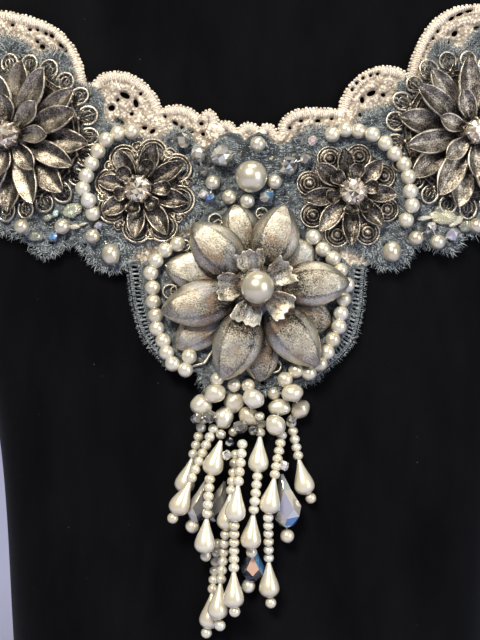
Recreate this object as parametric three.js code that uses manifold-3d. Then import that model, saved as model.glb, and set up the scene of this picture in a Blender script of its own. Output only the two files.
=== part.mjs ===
// Lace choker on a plain neck bust. Millimetres, +Z up, the origin on the floor under the middle of the bust,
// the wearer's front towards -Y.
//
// Everything on the front is laid out on a flat sheet that leans back against the chest: u runs to the right,
// v runs up the sheet, and w is the height above the velvet. Straight lines from one viewing point carry a
// layout point onto the bust, so the laces, flowers and beads keep the layout's outline when seen from there.
import * as THREE from "three";
import Module from "manifold-3d";

const wasm = await Module();
wasm.setup();

// Driving dimensions
const sheetLean = THREE.MathUtils.degToRad(12);
const sheetHeight = 124; // height of the sheet's middle above the floor
const viewingDistance = 400;
const viewingU = -2.9;
const bustHeight = 290;
const bustPower = 2.3; // 2 is an ellipse, more is squarer
const pieceGap = 0.3;
const beadGap = 0.04; // between the true rounds of two beads, whose flats lie a little deeper

const laceBack = 1.06; // w of the ivory lace's back face
const laceWall = 1.1;
const overlayBack = 2.41; // w of the blue-grey lace's back face
const overlayWall = 1.2;
const flowerBack = 3.9; // w of the backs of the flowers
const frontReach = 72; // the front lace is cut here, and the hidden stretch goes on from it

const seedDiameter = 2.8;
const pearlDiameter = 4.1;
const largePearlDiameter = 9;
const velvetNap = 0.2; // w of the velvet's top

// Horizontal sections of the bust
const bustSections = [
  { z: 0, halfWidth: 76.5, front: -62.5, widest: 2, back: 42 },
  { z: 22, halfWidth: 77, front: -61.6, widest: 2, back: 43 },
  { z: 53, halfWidth: 77.9, front: -55.2, widest: 3, back: 44 },
  { z: 75, halfWidth: 79.3, front: -50.6, widest: 4, back: 45 },
  { z: 95, halfWidth: 82, front: -46.3, widest: 5, back: 46 },
  { z: 116, halfWidth: 86.5, front: -41.9, widest: 6, back: 47 },
  { z: 136, halfWidth: 91, front: -37.6, widest: 6, back: 48 },
  { z: 160, halfWidth: 94.5, front: -32.5, widest: 7, back: 49 },
  { z: 180, halfWidth: 95, front: -28.3, widest: 8, back: 50 },
  { z: 198, halfWidth: 92, front: -24.6, widest: 9, back: 50.5 },
  { z: 212, halfWidth: 85, front: -22.6, widest: 10, back: 50.5 },
  { z: 224, halfWidth: 75, front: -22.4, widest: 11, back: 50 },
  { z: 236, halfWidth: 65, front: -23.6, widest: 11.5, back: 50 },
  { z: 250, halfWidth: 58, front: -25.5, widest: 12, back: 50 },
  { z: 268, halfWidth: 55, front: -27, widest: 12, back: 49.5 },
  { z: 290, halfWidth: 54, front: -28, widest: 12, back: 49 },
];

const velvet = new THREE.MeshStandardMaterial({ color: 0x0c0c10, roughness: 0.95, metalness: 0 });
const ivoryThread = new THREE.MeshStandardMaterial({ color: 0xe9dcc6, roughness: 0.9, metalness: 0 });
const blueThread = new THREE.MeshStandardMaterial({ color: 0x64788a, roughness: 0.9, metalness: 0 });
const satinSilver = new THREE.MeshStandardMaterial({ color: 0xb9b2a6, roughness: 0.38, metalness: 1 });
const darkSilver = new THREE.MeshStandardMaterial({ color: 0x55565a, roughness: 0.4, metalness: 1 });
const pearlNacre = new THREE.MeshStandardMaterial({ color: 0xefe6d8, roughness: 0.22, metalness: 0 });
const clearCrystal = new THREE.MeshStandardMaterial({ color: 0xdfe4ee, roughness: 0.05, metalness: 0 });

const choker = new THREE.Group();
choker.name = "lace_choker_on_neck_bust";

// --- Surface of the bust -------------------------------------------------------------------------------------

// Smooth section between the table's rows.
function sectionAt(z) {
  const rows = bustSections;
  const height = Math.min(Math.max(z, rows[0].z), rows.at(-1).z);
  let i = 0;
  while (i < rows.length - 2 && height > rows[i + 1].z) i += 1;
  const low = rows[i];
  const high = rows[i + 1];
  const below = rows[Math.max(i - 1, 0)];
  const above = rows[Math.min(i + 2, rows.length - 1)];
  const span = high.z - low.z;
  const t = (height - low.z) / span;
  const blend = (name) => {
    const slopeLow = ((high[name] - below[name]) / (high.z - below.z)) * span;
    const slopeHigh = ((above[name] - low[name]) / (above.z - low.z)) * span;
    return (
      (2 * t ** 3 - 3 * t ** 2 + 1) * low[name] +
      (t ** 3 - 2 * t ** 2 + t) * slopeLow +
      (3 * t ** 2 - 2 * t ** 3) * high[name] +
      (t ** 3 - t ** 2) * slopeHigh
    );
  };
  return { halfWidth: blend("halfWidth"), front: blend("front"), widest: blend("widest"), back: blend("back") };
}

// Point of a section at a turn from its right end: a quarter turn is the back, minus a quarter the front.
function sectionPoint(z, turn) {
  const section = sectionAt(z);
  const round = (value) => Math.sign(value) * Math.abs(value) ** (2 / bustPower);
  const along = round(Math.sin(turn));
  const depth = along < 0 ? section.widest - section.front : section.back - section.widest;
  return new THREE.Vector3(section.halfWidth * round(Math.cos(turn)), section.widest + depth * along, z);
}

// Turn at which a section reaches a share of its half width.
function turnOf(share) {
  return Math.acos(share ** (bustPower / 2));
}

// Below 0 inside the bust, above 0 outside.
function bustField(p) {
  const section = sectionAt(p.z);
  const depth = p.y < section.widest ? section.widest - section.front : section.back - section.widest;
  const across = Math.abs(p.x / section.halfWidth) ** bustPower;
  const along = Math.abs((p.y - section.widest) / depth) ** bustPower;
  return across + along - 1;
}

function bustNormal(p) {
  const step = 0.02;
  const slope = (axis) => {
    const ahead = p.clone();
    const behind = p.clone();
    ahead[axis] += step;
    behind[axis] -= step;
    return bustField(ahead) - bustField(behind);
  };
  return new THREE.Vector3(slope("x"), slope("y"), slope("z")).normalize();
}

// First point of the bust along a ray.
function bustHit(origin, direction, reach) {
  const stride = 4;
  let near = 0;
  while (bustField(origin.clone().addScaledVector(direction, near + stride)) > 0) {
    near += stride;
    if (near > reach) throw new Error("a layout point misses the bust");
  }
  let far = near + stride;
  for (let i = 0; i < 28; i += 1) {
    const middle = (near + far) / 2;
    if (bustField(origin.clone().addScaledVector(direction, middle)) > 0) near = middle;
    else far = middle;
  }
  const point = origin.clone().addScaledVector(direction, far);
  return { point, normal: bustNormal(point) };
}

// --- Layout sheets -------------------------------------------------------------------------------------------

const sheetMiddle = new THREE.Vector3(0, sectionAt(sheetHeight).front, sheetHeight);
const sheetUp = new THREE.Vector3(0, Math.sin(sheetLean), Math.cos(sheetLean));
const sheetOut = new THREE.Vector3(0, -Math.cos(sheetLean), Math.sin(sheetLean));
const viewingPoint = sheetMiddle
  .clone()
  .addScaledVector(sheetOut, viewingDistance)
  .add(new THREE.Vector3(viewingU, 0, 0));
const sheetRayStart = viewingDistance - 130; // clear of every piece
const sheetRayReach = 330;

// The whole front: rays spread from the viewing point.
const frontSheet = {
  ray(u, v) {
    const target = sheetMiddle.clone().addScaledVector(sheetUp, v).add(new THREE.Vector3(u, 0, 0));
    const direction = target.sub(viewingPoint).normalize();
    const origin = viewingPoint.clone().addScaledVector(direction, sheetRayStart);
    return { origin, direction, reach: sheetRayReach };
  },
};

// Layout coordinates of a point in space.
function toSheet(p) {
  const sight = p.clone().sub(viewingPoint);
  const scale = viewingDistance / -sight.dot(sheetOut);
  const onSheet = viewingPoint.clone().addScaledVector(sight, scale).sub(sheetMiddle);
  return { u: onSheet.x, v: onSheet.dot(sheetUp) };
}

// Foot on the velvet of a point that stands w above it and is seen at u, v.
function footBelow(u, v, w) {
  let guessU = u;
  let guessV = v;
  let foot;
  for (let i = 0; i < 5; i += 1) {
    const { origin, direction, reach } = frontSheet.ray(guessU, guessV);
    foot = bustHit(origin, direction, reach);
    const seen = toSheet(foot.point.clone().addScaledVector(foot.normal, w));
    guessU += u - seen.u;
    guessV += v - seen.v;
  }
  return foot;
}

function pointAbove(u, v, w) {
  const foot = footBelow(u, v, w);
  return foot.point.addScaledVector(foot.normal, w);
}

// A flower's own sheet: parallel rays along the bust's normal at the flower's foot.
function flowerSheet(u, v, w) {
  const foot = footBelow(u, v, w);
  const right = new THREE.Vector3(0, 0, 1).cross(foot.normal).normalize();
  const up = foot.normal.clone().cross(right);
  const height = 45;
  return {
    foot,
    ray(s, t) {
      const origin = foot.point
        .clone()
        .addScaledVector(right, s)
        .addScaledVector(up, t)
        .addScaledVector(foot.normal, height);
      return { origin, direction: foot.normal.clone().negate(), reach: 2 * height };
    },
  };
}

function place(sheet, u, v, w) {
  const { origin, direction, reach } = sheet.ray(u, v);
  const hit = bustHit(origin, direction, reach);
  return hit.point.addScaledVector(hit.normal, w);
}

// --- Solids --------------------------------------------------------------------------------------------------

// Closed solid from shared vertices; faces are turned outwards if they all look in.
function solidFrom(points, triangles) {
  const volume = triangles.reduce((sum, [a, b, c]) => {
    const normal = points[b].clone().cross(points[c]);
    return sum + points[a].dot(normal);
  }, 0);
  const turned = volume < 0 ? triangles.map(([a, b, c]) => [a, c, b]) : triangles;
  return new wasm.Manifold(
    new wasm.Mesh({
      numProp: 3,
      vertProperties: new Float32Array(points.flatMap((p) => p.toArray())),
      triVerts: new Uint32Array(turned.flat()),
    }),
  );
}

function middleOf(ring) {
  return ring.reduce((sum, p) => sum.add(p), new THREE.Vector3()).divideScalar(ring.length);
}

// Skin through rings of equal count, closed by a tip at each end.
function loft(rings, startTip = middleOf(rings[0]), endTip = middleOf(rings.at(-1))) {
  const count = rings[0].length;
  const points = rings.flat();
  const start = points.push(startTip) - 1;
  const end = points.push(endTip) - 1;
  const last = (rings.length - 1) * count;
  const triangles = [];
  for (let i = 0; i < count; i += 1) {
    const j = (i + 1) % count;
    triangles.push([start, j, i]);
    triangles.push([end, last + i, last + j]);
    for (let row = 0; row < last; row += count) {
      triangles.push([row + i, row + j, row + count + j]);
      triangles.push([row + i, row + count + j, row + count + i]);
    }
  }
  return solidFrom(points, triangles);
}

// Curved wall between two grids of points.
function wall(columns, rows, pointAt) {
  const points = [];
  for (const side of [0, 1]) {
    for (let j = 0; j <= rows; j += 1) {
      for (let i = 0; i <= columns; i += 1) points.push(pointAt(i / columns, j / rows, side));
    }
  }
  const face = (columns + 1) * (rows + 1);
  const at = (i, j, side) => side * face + j * (columns + 1) + i;
  const triangles = [];
  const quad = (a, b, c, d) => triangles.push([a, b, c], [a, c, d]);
  for (let i = 0; i < columns; i += 1) {
    for (let j = 0; j < rows; j += 1) {
      quad(at(i, j, 1), at(i + 1, j, 1), at(i + 1, j + 1, 1), at(i, j + 1, 1));
      quad(at(i, j, 0), at(i, j + 1, 0), at(i + 1, j + 1, 0), at(i + 1, j, 0));
    }
    quad(at(i, 0, 0), at(i + 1, 0, 0), at(i + 1, 0, 1), at(i, 0, 1));
    quad(at(i, rows, 1), at(i + 1, rows, 1), at(i + 1, rows, 0), at(i, rows, 0));
  }
  for (let j = 0; j < rows; j += 1) {
    quad(at(0, j, 1), at(0, j + 1, 1), at(0, j + 1, 0), at(0, j, 0));
    quad(at(columns, j, 0), at(columns, j + 1, 0), at(columns, j + 1, 1), at(columns, j, 1));
  }
  return solidFrom(points, triangles);
}

// Wall of even thickness on the bust over a rectangle of a sheet.
function sheetWall(sheet, area, cell, back, thickness) {
  const columns = Math.ceil((area.right - area.left) / cell.across);
  const rows = Math.ceil((area.top - area.bottom) / cell.up);
  return wall(columns, rows, (i, j, side) => {
    const u = THREE.MathUtils.lerp(area.left, area.right, i);
    const v = THREE.MathUtils.lerp(area.bottom, area.top, j);
    return place(sheet, u, v, back + side * thickness);
  });
}

// Prism through the bust's skin along a sheet's rays.
function prism(sheet, outline) {
  const contour = THREE.ShapeUtils.isClockWise(outline) ? [...outline].reverse() : outline;
  const count = contour.length;
  const ends = [0, 1].map((end) =>
    contour.map(({ x, y }) => {
      const { origin, direction, reach } = sheet.ray(x, y);
      return origin.addScaledVector(direction, end * reach);
    }),
  );
  const triangles = [];
  for (const [a, b, c] of THREE.ShapeUtils.triangulateShape(contour, [])) {
    triangles.push([a, b, c], [count + a, count + c, count + b]);
  }
  for (let i = 0; i < count; i += 1) {
    const j = (i + 1) % count;
    triangles.push([i, count + i, count + j], [i, count + j, j]);
  }
  return solidFrom(ends.flat(), triangles);
}

function unionOf(solids) {
  return solids.reduce((sum, next) => sum.add(next));
}

function boundsOf(outline) {
  const box = new THREE.Box2().setFromPoints(outline);
  const margin = 0.5;
  return {
    left: box.min.x - margin,
    right: box.max.x + margin,
    bottom: box.min.y - margin,
    top: box.max.y + margin,
  };
}

// Pierced flat work bent onto the bust.
function piercedWall(sheet, { outline, openings, cell, back, thickness, area = boundsOf(outline) }) {
  let solid = sheetWall(sheet, area, cell, back, thickness).intersect(prism(sheet, outline));
  if (openings.length) solid = solid.subtract(unionOf(openings.map((opening) => prism(sheet, opening))));
  return solid;
}

function addPiece(name, solid, material) {
  const mesh = solid.getMesh();
  const geometry = new THREE.BufferGeometry();
  geometry.setAttribute("position", new THREE.BufferAttribute(mesh.vertProperties, 3));
  geometry.setIndex(new THREE.BufferAttribute(mesh.triVerts, 1));
  geometry.computeVertexNormals();
  const piece = new THREE.Mesh(geometry, material);
  piece.name = name;
  choker.add(piece);
  return piece;
}

// --- Neck bust -----------------------------------------------------------------------------------------------

const bustSides = 28;
const bustRows = [
  { z: 0, share: 0.985 },
  { z: 1.5, share: 1 },
  { z: 22, share: 1 },
  { z: 58, share: 1 },
  { z: 90, share: 1 },
  { z: 116, share: 1 },
  { z: 140, share: 1 },
  { z: 162, share: 1 },
  { z: 180, share: 1 },
  { z: 194, share: 1 },
  { z: 205, share: 1 },
  { z: 215, share: 1 },
  { z: 225, share: 1 },
  { z: 235, share: 1 },
  { z: 244, share: 1 },
  { z: 254, share: 1 },
  { z: 270, share: 1 },
  { z: 286, share: 1 },
  { z: bustHeight, share: 0.93 },
];

function bustRing({ z, share }) {
  const { widest } = sectionAt(z);
  return Array.from({ length: bustSides }, (_, i) => {
    const point = sectionPoint(z, (2 * Math.PI * (i + 0.5)) / bustSides);
    return new THREE.Vector3(share * point.x, widest + share * (point.y - widest), z);
  });
}

addPiece("neck_bust", loft(bustRows.map(bustRing)), velvet);

// --- Lace ----------------------------------------------------------------------------------------------------

// Each row is one scallop or straight of an edge: a curve from the last row's end with two control points.
function edgeShape(start, rows) {
  const shape = new THREE.Shape();
  shape.moveTo(start.u, start.v);
  for (const { u, v, pull } of rows) {
    if (pull) shape.bezierCurveTo(pull[0], pull[1], pull[2], pull[3], u, v);
    else shape.lineTo(u, v);
  }
  return shape;
}

const ivoryStart = { u: -frontReach, v: 87.8 };
const ivoryEdge = [
  { u: -47, v: 67.6, pull: [-58, 87.5, -49, 82] },
  { u: -45, v: 67.7 },
  { u: -25.3, v: 60.3, pull: [-43, 73, -29.5, 73] },
  { u: -14.3, v: 58, pull: [-23, 62, -17, 62] },
  { u: -9, v: 56, pull: [-14, 61, -9, 61] },
  { u: -3.5, v: 54.5, pull: [-8, 57.4, -5, 57.4] },
  { u: 2.8, v: 54.8, pull: [-2, 57, 1, 57] },
  { u: 8, v: 53.2, pull: [4, 57, 7, 56.5] },
  { u: 25.3, v: 60.3, pull: [8.5, 62.5, 19, 60.5] },
  { u: 45, v: 70, pull: [29, 74.5, 42.5, 74.5] },
  { u: frontReach, v: 88, pull: [49, 87, 58, 93.5] },
  { u: frontReach, v: 29 },
  { u: 38, v: 17.5, pull: [60, 27, 48, 23] },
  { u: 0, v: 12, pull: [30, 13, 18, 12] },
  { u: -38, v: 17.5, pull: [-18, 12, -30, 13] },
  { u: -frontReach, v: 29, pull: [-48, 23, -60, 27] },
];
const ivoryShape = edgeShape(ivoryStart, ivoryEdge);

// Openings of the ivory lace: middle, size along and across, and slant in degrees.
const ivoryOpenings = [
  { u: -36, v: 64.3, along: 4.2, across: 1.5, slant: 20 },
  { u: -32.4, v: 61.6, along: 3.2, across: 1.4, slant: -55 },
  { u: -39.7, v: 61, along: 3, across: 1.4, slant: 70 },
  { u: -59.5, v: 82, along: 4.6, across: 1.4, slant: -25 },
  { u: -53.8, v: 77.6, along: 3.6, across: 1.3, slant: -50 },
  { u: -60.5, v: 77.8, along: 3.4, across: 1.4, slant: -35 },
  { u: -67.5, v: 83.4, along: 4, across: 1.3, slant: -5 },
  { u: -20.5, v: 56.4, along: 3, across: 1.3, slant: -10 },
  { u: 34.8, v: 65.4, along: 3.4, across: 1.4, slant: 25 },
  { u: 39.4, v: 66.2, along: 2.8, across: 1.4, slant: -10 },
  { u: 31.4, v: 61.4, along: 3, across: 1.4, slant: 65 },
  { u: 60, v: 87, along: 6.4, across: 1.2, slant: 20 },
  { u: 58.2, v: 82, along: 3, across: 1.5, slant: 40 },
  { u: 65, v: 83.5, along: 3.4, across: 1.5, slant: 5 },
  { u: 19.5, v: 57.6, along: 2.4, across: 1.2, slant: 0 },
];

// Slot with slanted ends.
function slot({ u, v, along, across, slant }) {
  const turn = THREE.MathUtils.degToRad(slant);
  const corners = [
    [0.5, 0.1],
    [-0.3, 0.5],
    [-0.5, -0.1],
    [0.3, -0.5],
  ];
  return corners.map(([i, j]) => {
    const corner = new THREE.Vector2(i * along, j * across);
    return corner.rotateAround(new THREE.Vector2(), turn).add(new THREE.Vector2(u, v));
  });
}

const ivoryOutline = ivoryShape.getPoints(3).slice(0, -1);
const laceCell = { across: 12.1, up: 16.5 };
addPiece(
  "ivory_lace",
  piercedWall(frontSheet, {
    outline: ivoryOutline,
    openings: ivoryOpenings.map(slot),
    cell: laceCell,
    back: laceBack,
    thickness: laceWall,
    area: { left: -frontReach, right: frontReach, bottom: 11, top: 92 },
  }),
  ivoryThread,
);

const blueLeftShape = edgeShape({ u: -frontReach, v: 80 }, [
  { u: -60.5, v: 78, pull: [-69, 82.5, -63, 81.5] },
  { u: -50.5, v: 72, pull: [-58, 78.5, -53, 78.5] },
  { u: -41.4, v: 65, pull: [-47, 68.5, -42.5, 69.5] },
  { u: -37, v: 55.4 },
  { u: -16, v: 53, pull: [-30, 53.5, -22, 54] },
  { u: -14.2, v: 31, pull: [-13.5, 46, -14, 38] },
  { u: -33, v: 20.5, pull: [-19, 24.5, -28, 23.5] },
  { u: -36, v: 15 },
  { u: -46, v: 18, pull: [-39, 13.5, -43.5, 14] },
  { u: -55, v: 20, pull: [-49, 22.5, -52, 22.5] },
  { u: -61.5, v: 21, pull: [-57, 17.6, -60.5, 17.6] },
  { u: -frontReach, v: 27.5, pull: [-63, 25, -67.5, 24.5] },
]);
const blueRightShape = edgeShape({ u: frontReach, v: 80 }, [
  { u: 61, v: 80.5, pull: [69, 82.5, 64, 83] },
  { u: 49.5, v: 75, pull: [58, 80.5, 52.5, 80] },
  { u: 36, v: 67.5, pull: [46.5, 70, 40.5, 71] },
  { u: 33.6, v: 56 },
  { u: 16.6, v: 53.5, pull: [28, 54.5, 22, 54.5] },
  { u: 16.4, v: 31, pull: [16, 46, 16, 38] },
  { u: 31, v: 20, pull: [20, 24.5, 27, 22] },
  { u: 37, v: 15 },
  { u: 45.5, v: 18.5, pull: [40, 14.6, 43.5, 15.4] },
  { u: 53.5, v: 20.5, pull: [47, 22.6, 51, 22.2] },
  { u: 60, v: 24, pull: [56, 19, 59.5, 19] },
  { u: frontReach, v: 27, pull: [63, 26, 67.5, 24] },
]);

function blueLace(name, shape) {
  const outline = shape.getPoints(3).slice(0, -1);
  const edges = boundsOf(outline);
  edges.left = Math.max(edges.left, -frontReach);
  edges.right = Math.min(edges.right, frontReach);
  addPiece(
    name,
    piercedWall(frontSheet, {
      outline,
      openings: [],
      cell: laceCell,
      back: overlayBack,
      thickness: overlayWall,
      area: edges,
    }),
    blueThread,
  );
}

blueLace("blue_lace_left", blueLeftShape);
blueLace("blue_lace_right", blueRightShape);

// The bib panel and the ladder of slots inside its side edges.
const panelLeftEdge = new THREE.SplineCurve([
  new THREE.Vector2(-34.2, 13.5),
  new THREE.Vector2(-33.2, 5),
  new THREE.Vector2(-30.6, -4.5),
  new THREE.Vector2(-23.5, -13.6),
]);
const panelRightEdge = new THREE.SplineCurve([
  new THREE.Vector2(19.5, -16),
  new THREE.Vector2(28.4, -7.5),
  new THREE.Vector2(31.5, 2),
  new THREE.Vector2(32, 12),
]);
const edgeDivisions = 4;
const panelOutline = [
  ...panelLeftEdge.getPoints(edgeDivisions),
  new THREE.Vector2(-14.5, -15.2),
  new THREE.Vector2(-13, -19.6),
  new THREE.Vector2(0, -20.4),
  new THREE.Vector2(12, -18.6),
  ...panelRightEdge.getPoints(edgeDivisions),
  new THREE.Vector2(24.5, 19.8),
  new THREE.Vector2(16.4, 23.8),
  new THREE.Vector2(14.8, 30),
  new THREE.Vector2(14.8, 51),
  new THREE.Vector2(8.5, 52.5),
  new THREE.Vector2(2.8, 53.2),
  new THREE.Vector2(-3.5, 53),
  new THREE.Vector2(-12.6, 52),
  new THREE.Vector2(-12.6, 30.5),
  new THREE.Vector2(-17, 24.5),
  new THREE.Vector2(-25, 20.8),
];
const ladder = { slots: 6, inset: 2.1, along: 1.4, across: 2 };

function ladderSlots(edge) {
  return Array.from({ length: ladder.slots }, (_, i) => {
    const share = (i + 0.7) / (ladder.slots + 0.4);
    const point = edge.getPointAt(share);
    const tangent = edge.getTangentAt(share);
    const inward = new THREE.Vector2(-tangent.y, tangent.x);
    const middle = point.addScaledVector(inward, ladder.inset);
    return [
      [-0.5, -0.5],
      [0.5, -0.5],
      [0.5, 0.5],
      [-0.5, 0.5],
    ].map(([i1, j1]) =>
      middle
        .clone()
        .addScaledVector(tangent, i1 * ladder.along)
        .addScaledVector(inward, j1 * ladder.across),
    );
  });
}

addPiece(
  "blue_panel",
  piercedWall(frontSheet, {
    outline: panelOutline,
    openings: [...ladderSlots(panelLeftEdge), ...ladderSlots(panelRightEdge)],
    cell: { across: 17, up: 38 },
    back: overlayBack,
    thickness: overlayWall,
  }),
  blueThread,
);

// Hidden stretch: a plain lace band from the front lace's end over the shoulder to the nape.
const napeBand = { bottom: 222, top: 243, halfGap: 7 };
const sideBand = { columns: 15, rows: 3, low: 29, high: 87, joint: frontReach + 0.4, back: laceBack + 0.4 };

function sideLace(name, side) {
  const starts = Array.from({ length: sideBand.rows + 1 }, (_, j) => {
    const v = THREE.MathUtils.lerp(sideBand.low, sideBand.high, j / sideBand.rows);
    const { origin, direction, reach } = frontSheet.ray(sideBand.joint * side, v);
    return bustHit(origin, direction, reach).point;
  });
  const solid = wall(sideBand.columns, sideBand.rows, (i, j, layer) => {
    const start = starts[Math.round(j * sideBand.rows)];
    const endZ = THREE.MathUtils.lerp(napeBand.bottom, napeBand.top, j);
    const z = THREE.MathUtils.lerp(start.z, endZ, i ** THREE.MathUtils.lerp(0.8, 1.25, j));
    const startTurn = -turnOf(Math.abs(start.x) / sectionAt(start.z).halfWidth);
    const endTurn = turnOf(napeBand.halfGap / sectionAt(endZ).halfWidth);
    const point = sectionPoint(z, THREE.MathUtils.lerp(startTurn, endTurn, i));
    point.x *= side;
    return point.addScaledVector(bustNormal(point), sideBand.back + layer * laceWall);
  });
  addPiece(name, solid, ivoryThread);
}

sideLace("side_lace_left", -1);
sideLace("side_lace_right", 1);

// Clasp: one plain plate across the gap at the nape.
const claspSize = { halfWidth: 6.4, height: 17, thickness: 2.4 };
const backReach = 150; // clear behind the bust
addPiece(
  "clasp",
  wall(3, 1, (i, j, side) => {
    const x = THREE.MathUtils.lerp(-claspSize.halfWidth, claspSize.halfWidth, i);
    const middle = (napeBand.bottom + napeBand.top) / 2;
    const z = middle + (j - 0.5) * claspSize.height;
    const hit = bustHit(new THREE.Vector3(x, backReach, z), new THREE.Vector3(0, -1, 0), backReach);
    return hit.point.addScaledVector(hit.normal, laceBack + side * claspSize.thickness);
  }),
  satinSilver,
);

// Filigree discs that beads may rest on: middle, radius and top.
const discs = [];

// --- Flowers -------------------------------------------------------------------------------------------------

// Point at a height above the flower's back.
function onFlower(sheet, s, t, height) {
  return place(sheet, s, t, flowerBack + height);
}

function ringOn(sheet, radius, height, sides) {
  return Array.from({ length: sides }, (_, i) => {
    const turn = (2 * Math.PI * i) / sides;
    return onFlower(sheet, radius * Math.cos(turn), radius * Math.sin(turn), height);
  });
}

// Stack of rings, such as a hub or a stone.
function stack(sheet, rows, sides) {
  return loft(rows.map(([radius, height]) => ringOn(sheet, radius, height, sides)));
}

// Share of a leaf's half width along its length, from its inner end towards its tip.
const leafForms = {
  round: [
    [0, 0.4],
    [0.3, 0.9],
    [0.7, 0.86],
  ],
  ragged: [
    [0, 0.4],
    [0.95, 1],
  ],
};

// Domed leaf from the hub outwards: its sides lie on a line from low to high, and its middle is raised.
function leaf(sheet, { angle, inner, outer, width, low, high, dome, thickness, form }) {
  const turn = THREE.MathUtils.degToRad(angle);
  const pointAt = (share, side, rise) => {
    const radius = THREE.MathUtils.lerp(inner, outer, share);
    const s = radius * Math.cos(turn) - side * Math.sin(turn);
    const t = radius * Math.sin(turn) + side * Math.cos(turn);
    return onFlower(sheet, s, t, THREE.MathUtils.lerp(low, high, share) + rise);
  };
  const shoulders = form === "round" ? [-0.45, 0.45] : [0];
  const rings = leafForms[form].map(([share, part]) => {
    const half = (part * width) / 2;
    return [
      pointAt(share, -half, 0),
      ...shoulders.map((shoulder) => pointAt(share, half * shoulder, dome * part + thickness / 2)),
      pointAt(share, half, 0),
      pointAt(share, 0, dome * part * 0.4 - thickness / 2),
    ];
  });
  return loft(rings, undefined, form === "ragged" ? undefined : pointAt(1, 0, 0));
}

// Flower of stacked tiers, one skin from the filigree up to the innermost leaves. Each tier's ring has
// four points to a leaf: its tip, a shoulder, the valley to the next leaf and that leaf's shoulder.
const tierLeaves = 8;
const tierPoints = 4 * tierLeaves;

function tierRing(sheet, { start, tip, shoulder = tip, valley = tip, height, tipRise = 0, valleyRise = 0 }) {
  return Array.from({ length: tierPoints }, (_, i) => {
    const turn = THREE.MathUtils.degToRad(start + (360 * i) / tierPoints);
    const tips = Array.isArray(tip) ? tip[i / 4] : tip;
    const radius = [tips, shoulder, valley, shoulder][i % 4];
    const rise = [tipRise, 0, valleyRise, 0][i % 4];
    return onFlower(sheet, radius * Math.cos(turn), radius * Math.sin(turn), height + rise);
  });
}

// A row that starts half a leaf later keeps its points in step with the others.
function tierFlower(sheet, start, rows) {
  const rings = rows.map(({ late = false, ...row }) => {
    const ring = tierRing(sheet, { ...row, start: late ? start + 180 / tierLeaves : start });
    return late ? [...ring.slice(-2), ...ring.slice(0, -2)] : ring;
  });
  return loft(rings);
}

const stoneSides = 7;

// Rows of a cut stone: share of its radius, and height above its seat.
const stoneRows = [
  [0.6, 0],
  [1, 1.1],
  [0.92, 1.7],
  [0.55, 2.6],
];

function addStone(name, sheet, { radius, seat }) {
  const rows = stoneRows.map(([share, height]) => [share * radius, seat + pieceGap + height]);
  addPiece(name, stack(sheet, rows, stoneSides), clearCrystal);
}

function addDisc(sheet, { radius, top }) {
  discs.push({ ...toSheet(sheet.foot.point), radius, top: flowerBack + top });
}

// Dark flower with many narrow leaves in two layers, short leaves inside and arches round the filigree's rim.
const largeFlower = {
  stoneHeight: 12.5,
  firstTip: -5,
  filigree: { radius: 24.4, top: 1.4 },
  rows: [
    { tip: 13, height: 0.6 },
    { tip: 24.4, shoulder: 22.8, valley: 24.4, height: 0.6 },
    { tip: 24.4, shoulder: 22.8, valley: 24.4, height: 1.4 },
    { tip: 11, height: 1.6 },
    { tip: 22.6, shoulder: 14.5, valley: 8, height: 2.8, tipRise: 0.5, valleyRise: 0.2 },
    { tip: 7.2, height: 4.2 },
    { late: true, tip: 21.6, shoulder: 13.5, valley: 6.8, height: 5, tipRise: 0.8 },
    { tip: 4.8, height: 6 },
    { tip: 12.8, shoulder: 7.6, valley: 4.6, height: 6.8, tipRise: 0.8 },
  ],
  openings: { count: 8, at: 21.2, along: 2.6, across: 1.8, heights: [0.1, 1.9] },
  stone: { radius: 3.4, seat: 7.2 },
};

function addLargeFlower(name, stoneU, stoneV) {
  const { stoneHeight, firstTip, filigree, rows, openings, stone } = largeFlower;
  const sheet = flowerSheet(stoneU, stoneV, stoneHeight);
  const holes = Array.from({ length: openings.count }, (_, i) => {
    const turn = THREE.MathUtils.degToRad(firstTip + (360 * (i + 0.375)) / openings.count);
    const [u, v] = [openings.at * Math.cos(turn), openings.at * Math.sin(turn)];
    const outline = slot({ u, v, ...openings, slant: THREE.MathUtils.radToDeg(turn) + 90 });
    return loft(openings.heights.map((height) => outline.map(({ x, y }) => onFlower(sheet, x, y, height))));
  });
  addPiece(name, tierFlower(sheet, firstTip, rows).subtract(unionOf(holes)), darkSilver);
  addStone(name.replace("large_flower", "stone_large"), sheet, stone);
  addDisc(sheet, filigree);
}

// Dark flower with bosses round its filigree, pointed leaves between them and short round leaves inside.
const smallFlower = {
  stoneHeight: 9.5,
  filigree: { radius: 13.7, top: 1 },
  rows: [
    { tip: 12.6, valley: 13.7, shoulder: 13.4, height: 0.2 },
    { tip: 12.6, valley: 13.7, shoulder: 13.4, height: 1 },
    { tip: 11.2, height: 1.1, valleyRise: 1.2 },
    { tip: 8.4, height: 1.1 },
    { shoulder: 8.8, valley: 5, height: 2.2, tipRise: 0.5 },
    { tip: 4.4, height: 3.1 },
    { late: true, tip: 8.4, shoulder: 6.4, valley: 4, height: 4, valleyRise: -0.2 },
  ],
  stone: { radius: 3.4, seat: 4.4 },
};

function addSmallFlower(name, stoneU, stoneV, firstTip, tips) {
  const { stoneHeight, filigree, rows, stone } = smallFlower;
  const sheet = flowerSheet(stoneU, stoneV, stoneHeight);
  const ownRows = rows.map((row) => ({ tip: tips, ...row }));
  addPiece(name, tierFlower(sheet, firstTip, ownRows), darkSilver);
  addStone(name.replace("small_flower", "stone_small"), sheet, stone);
  addDisc(sheet, filigree);
}

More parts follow.
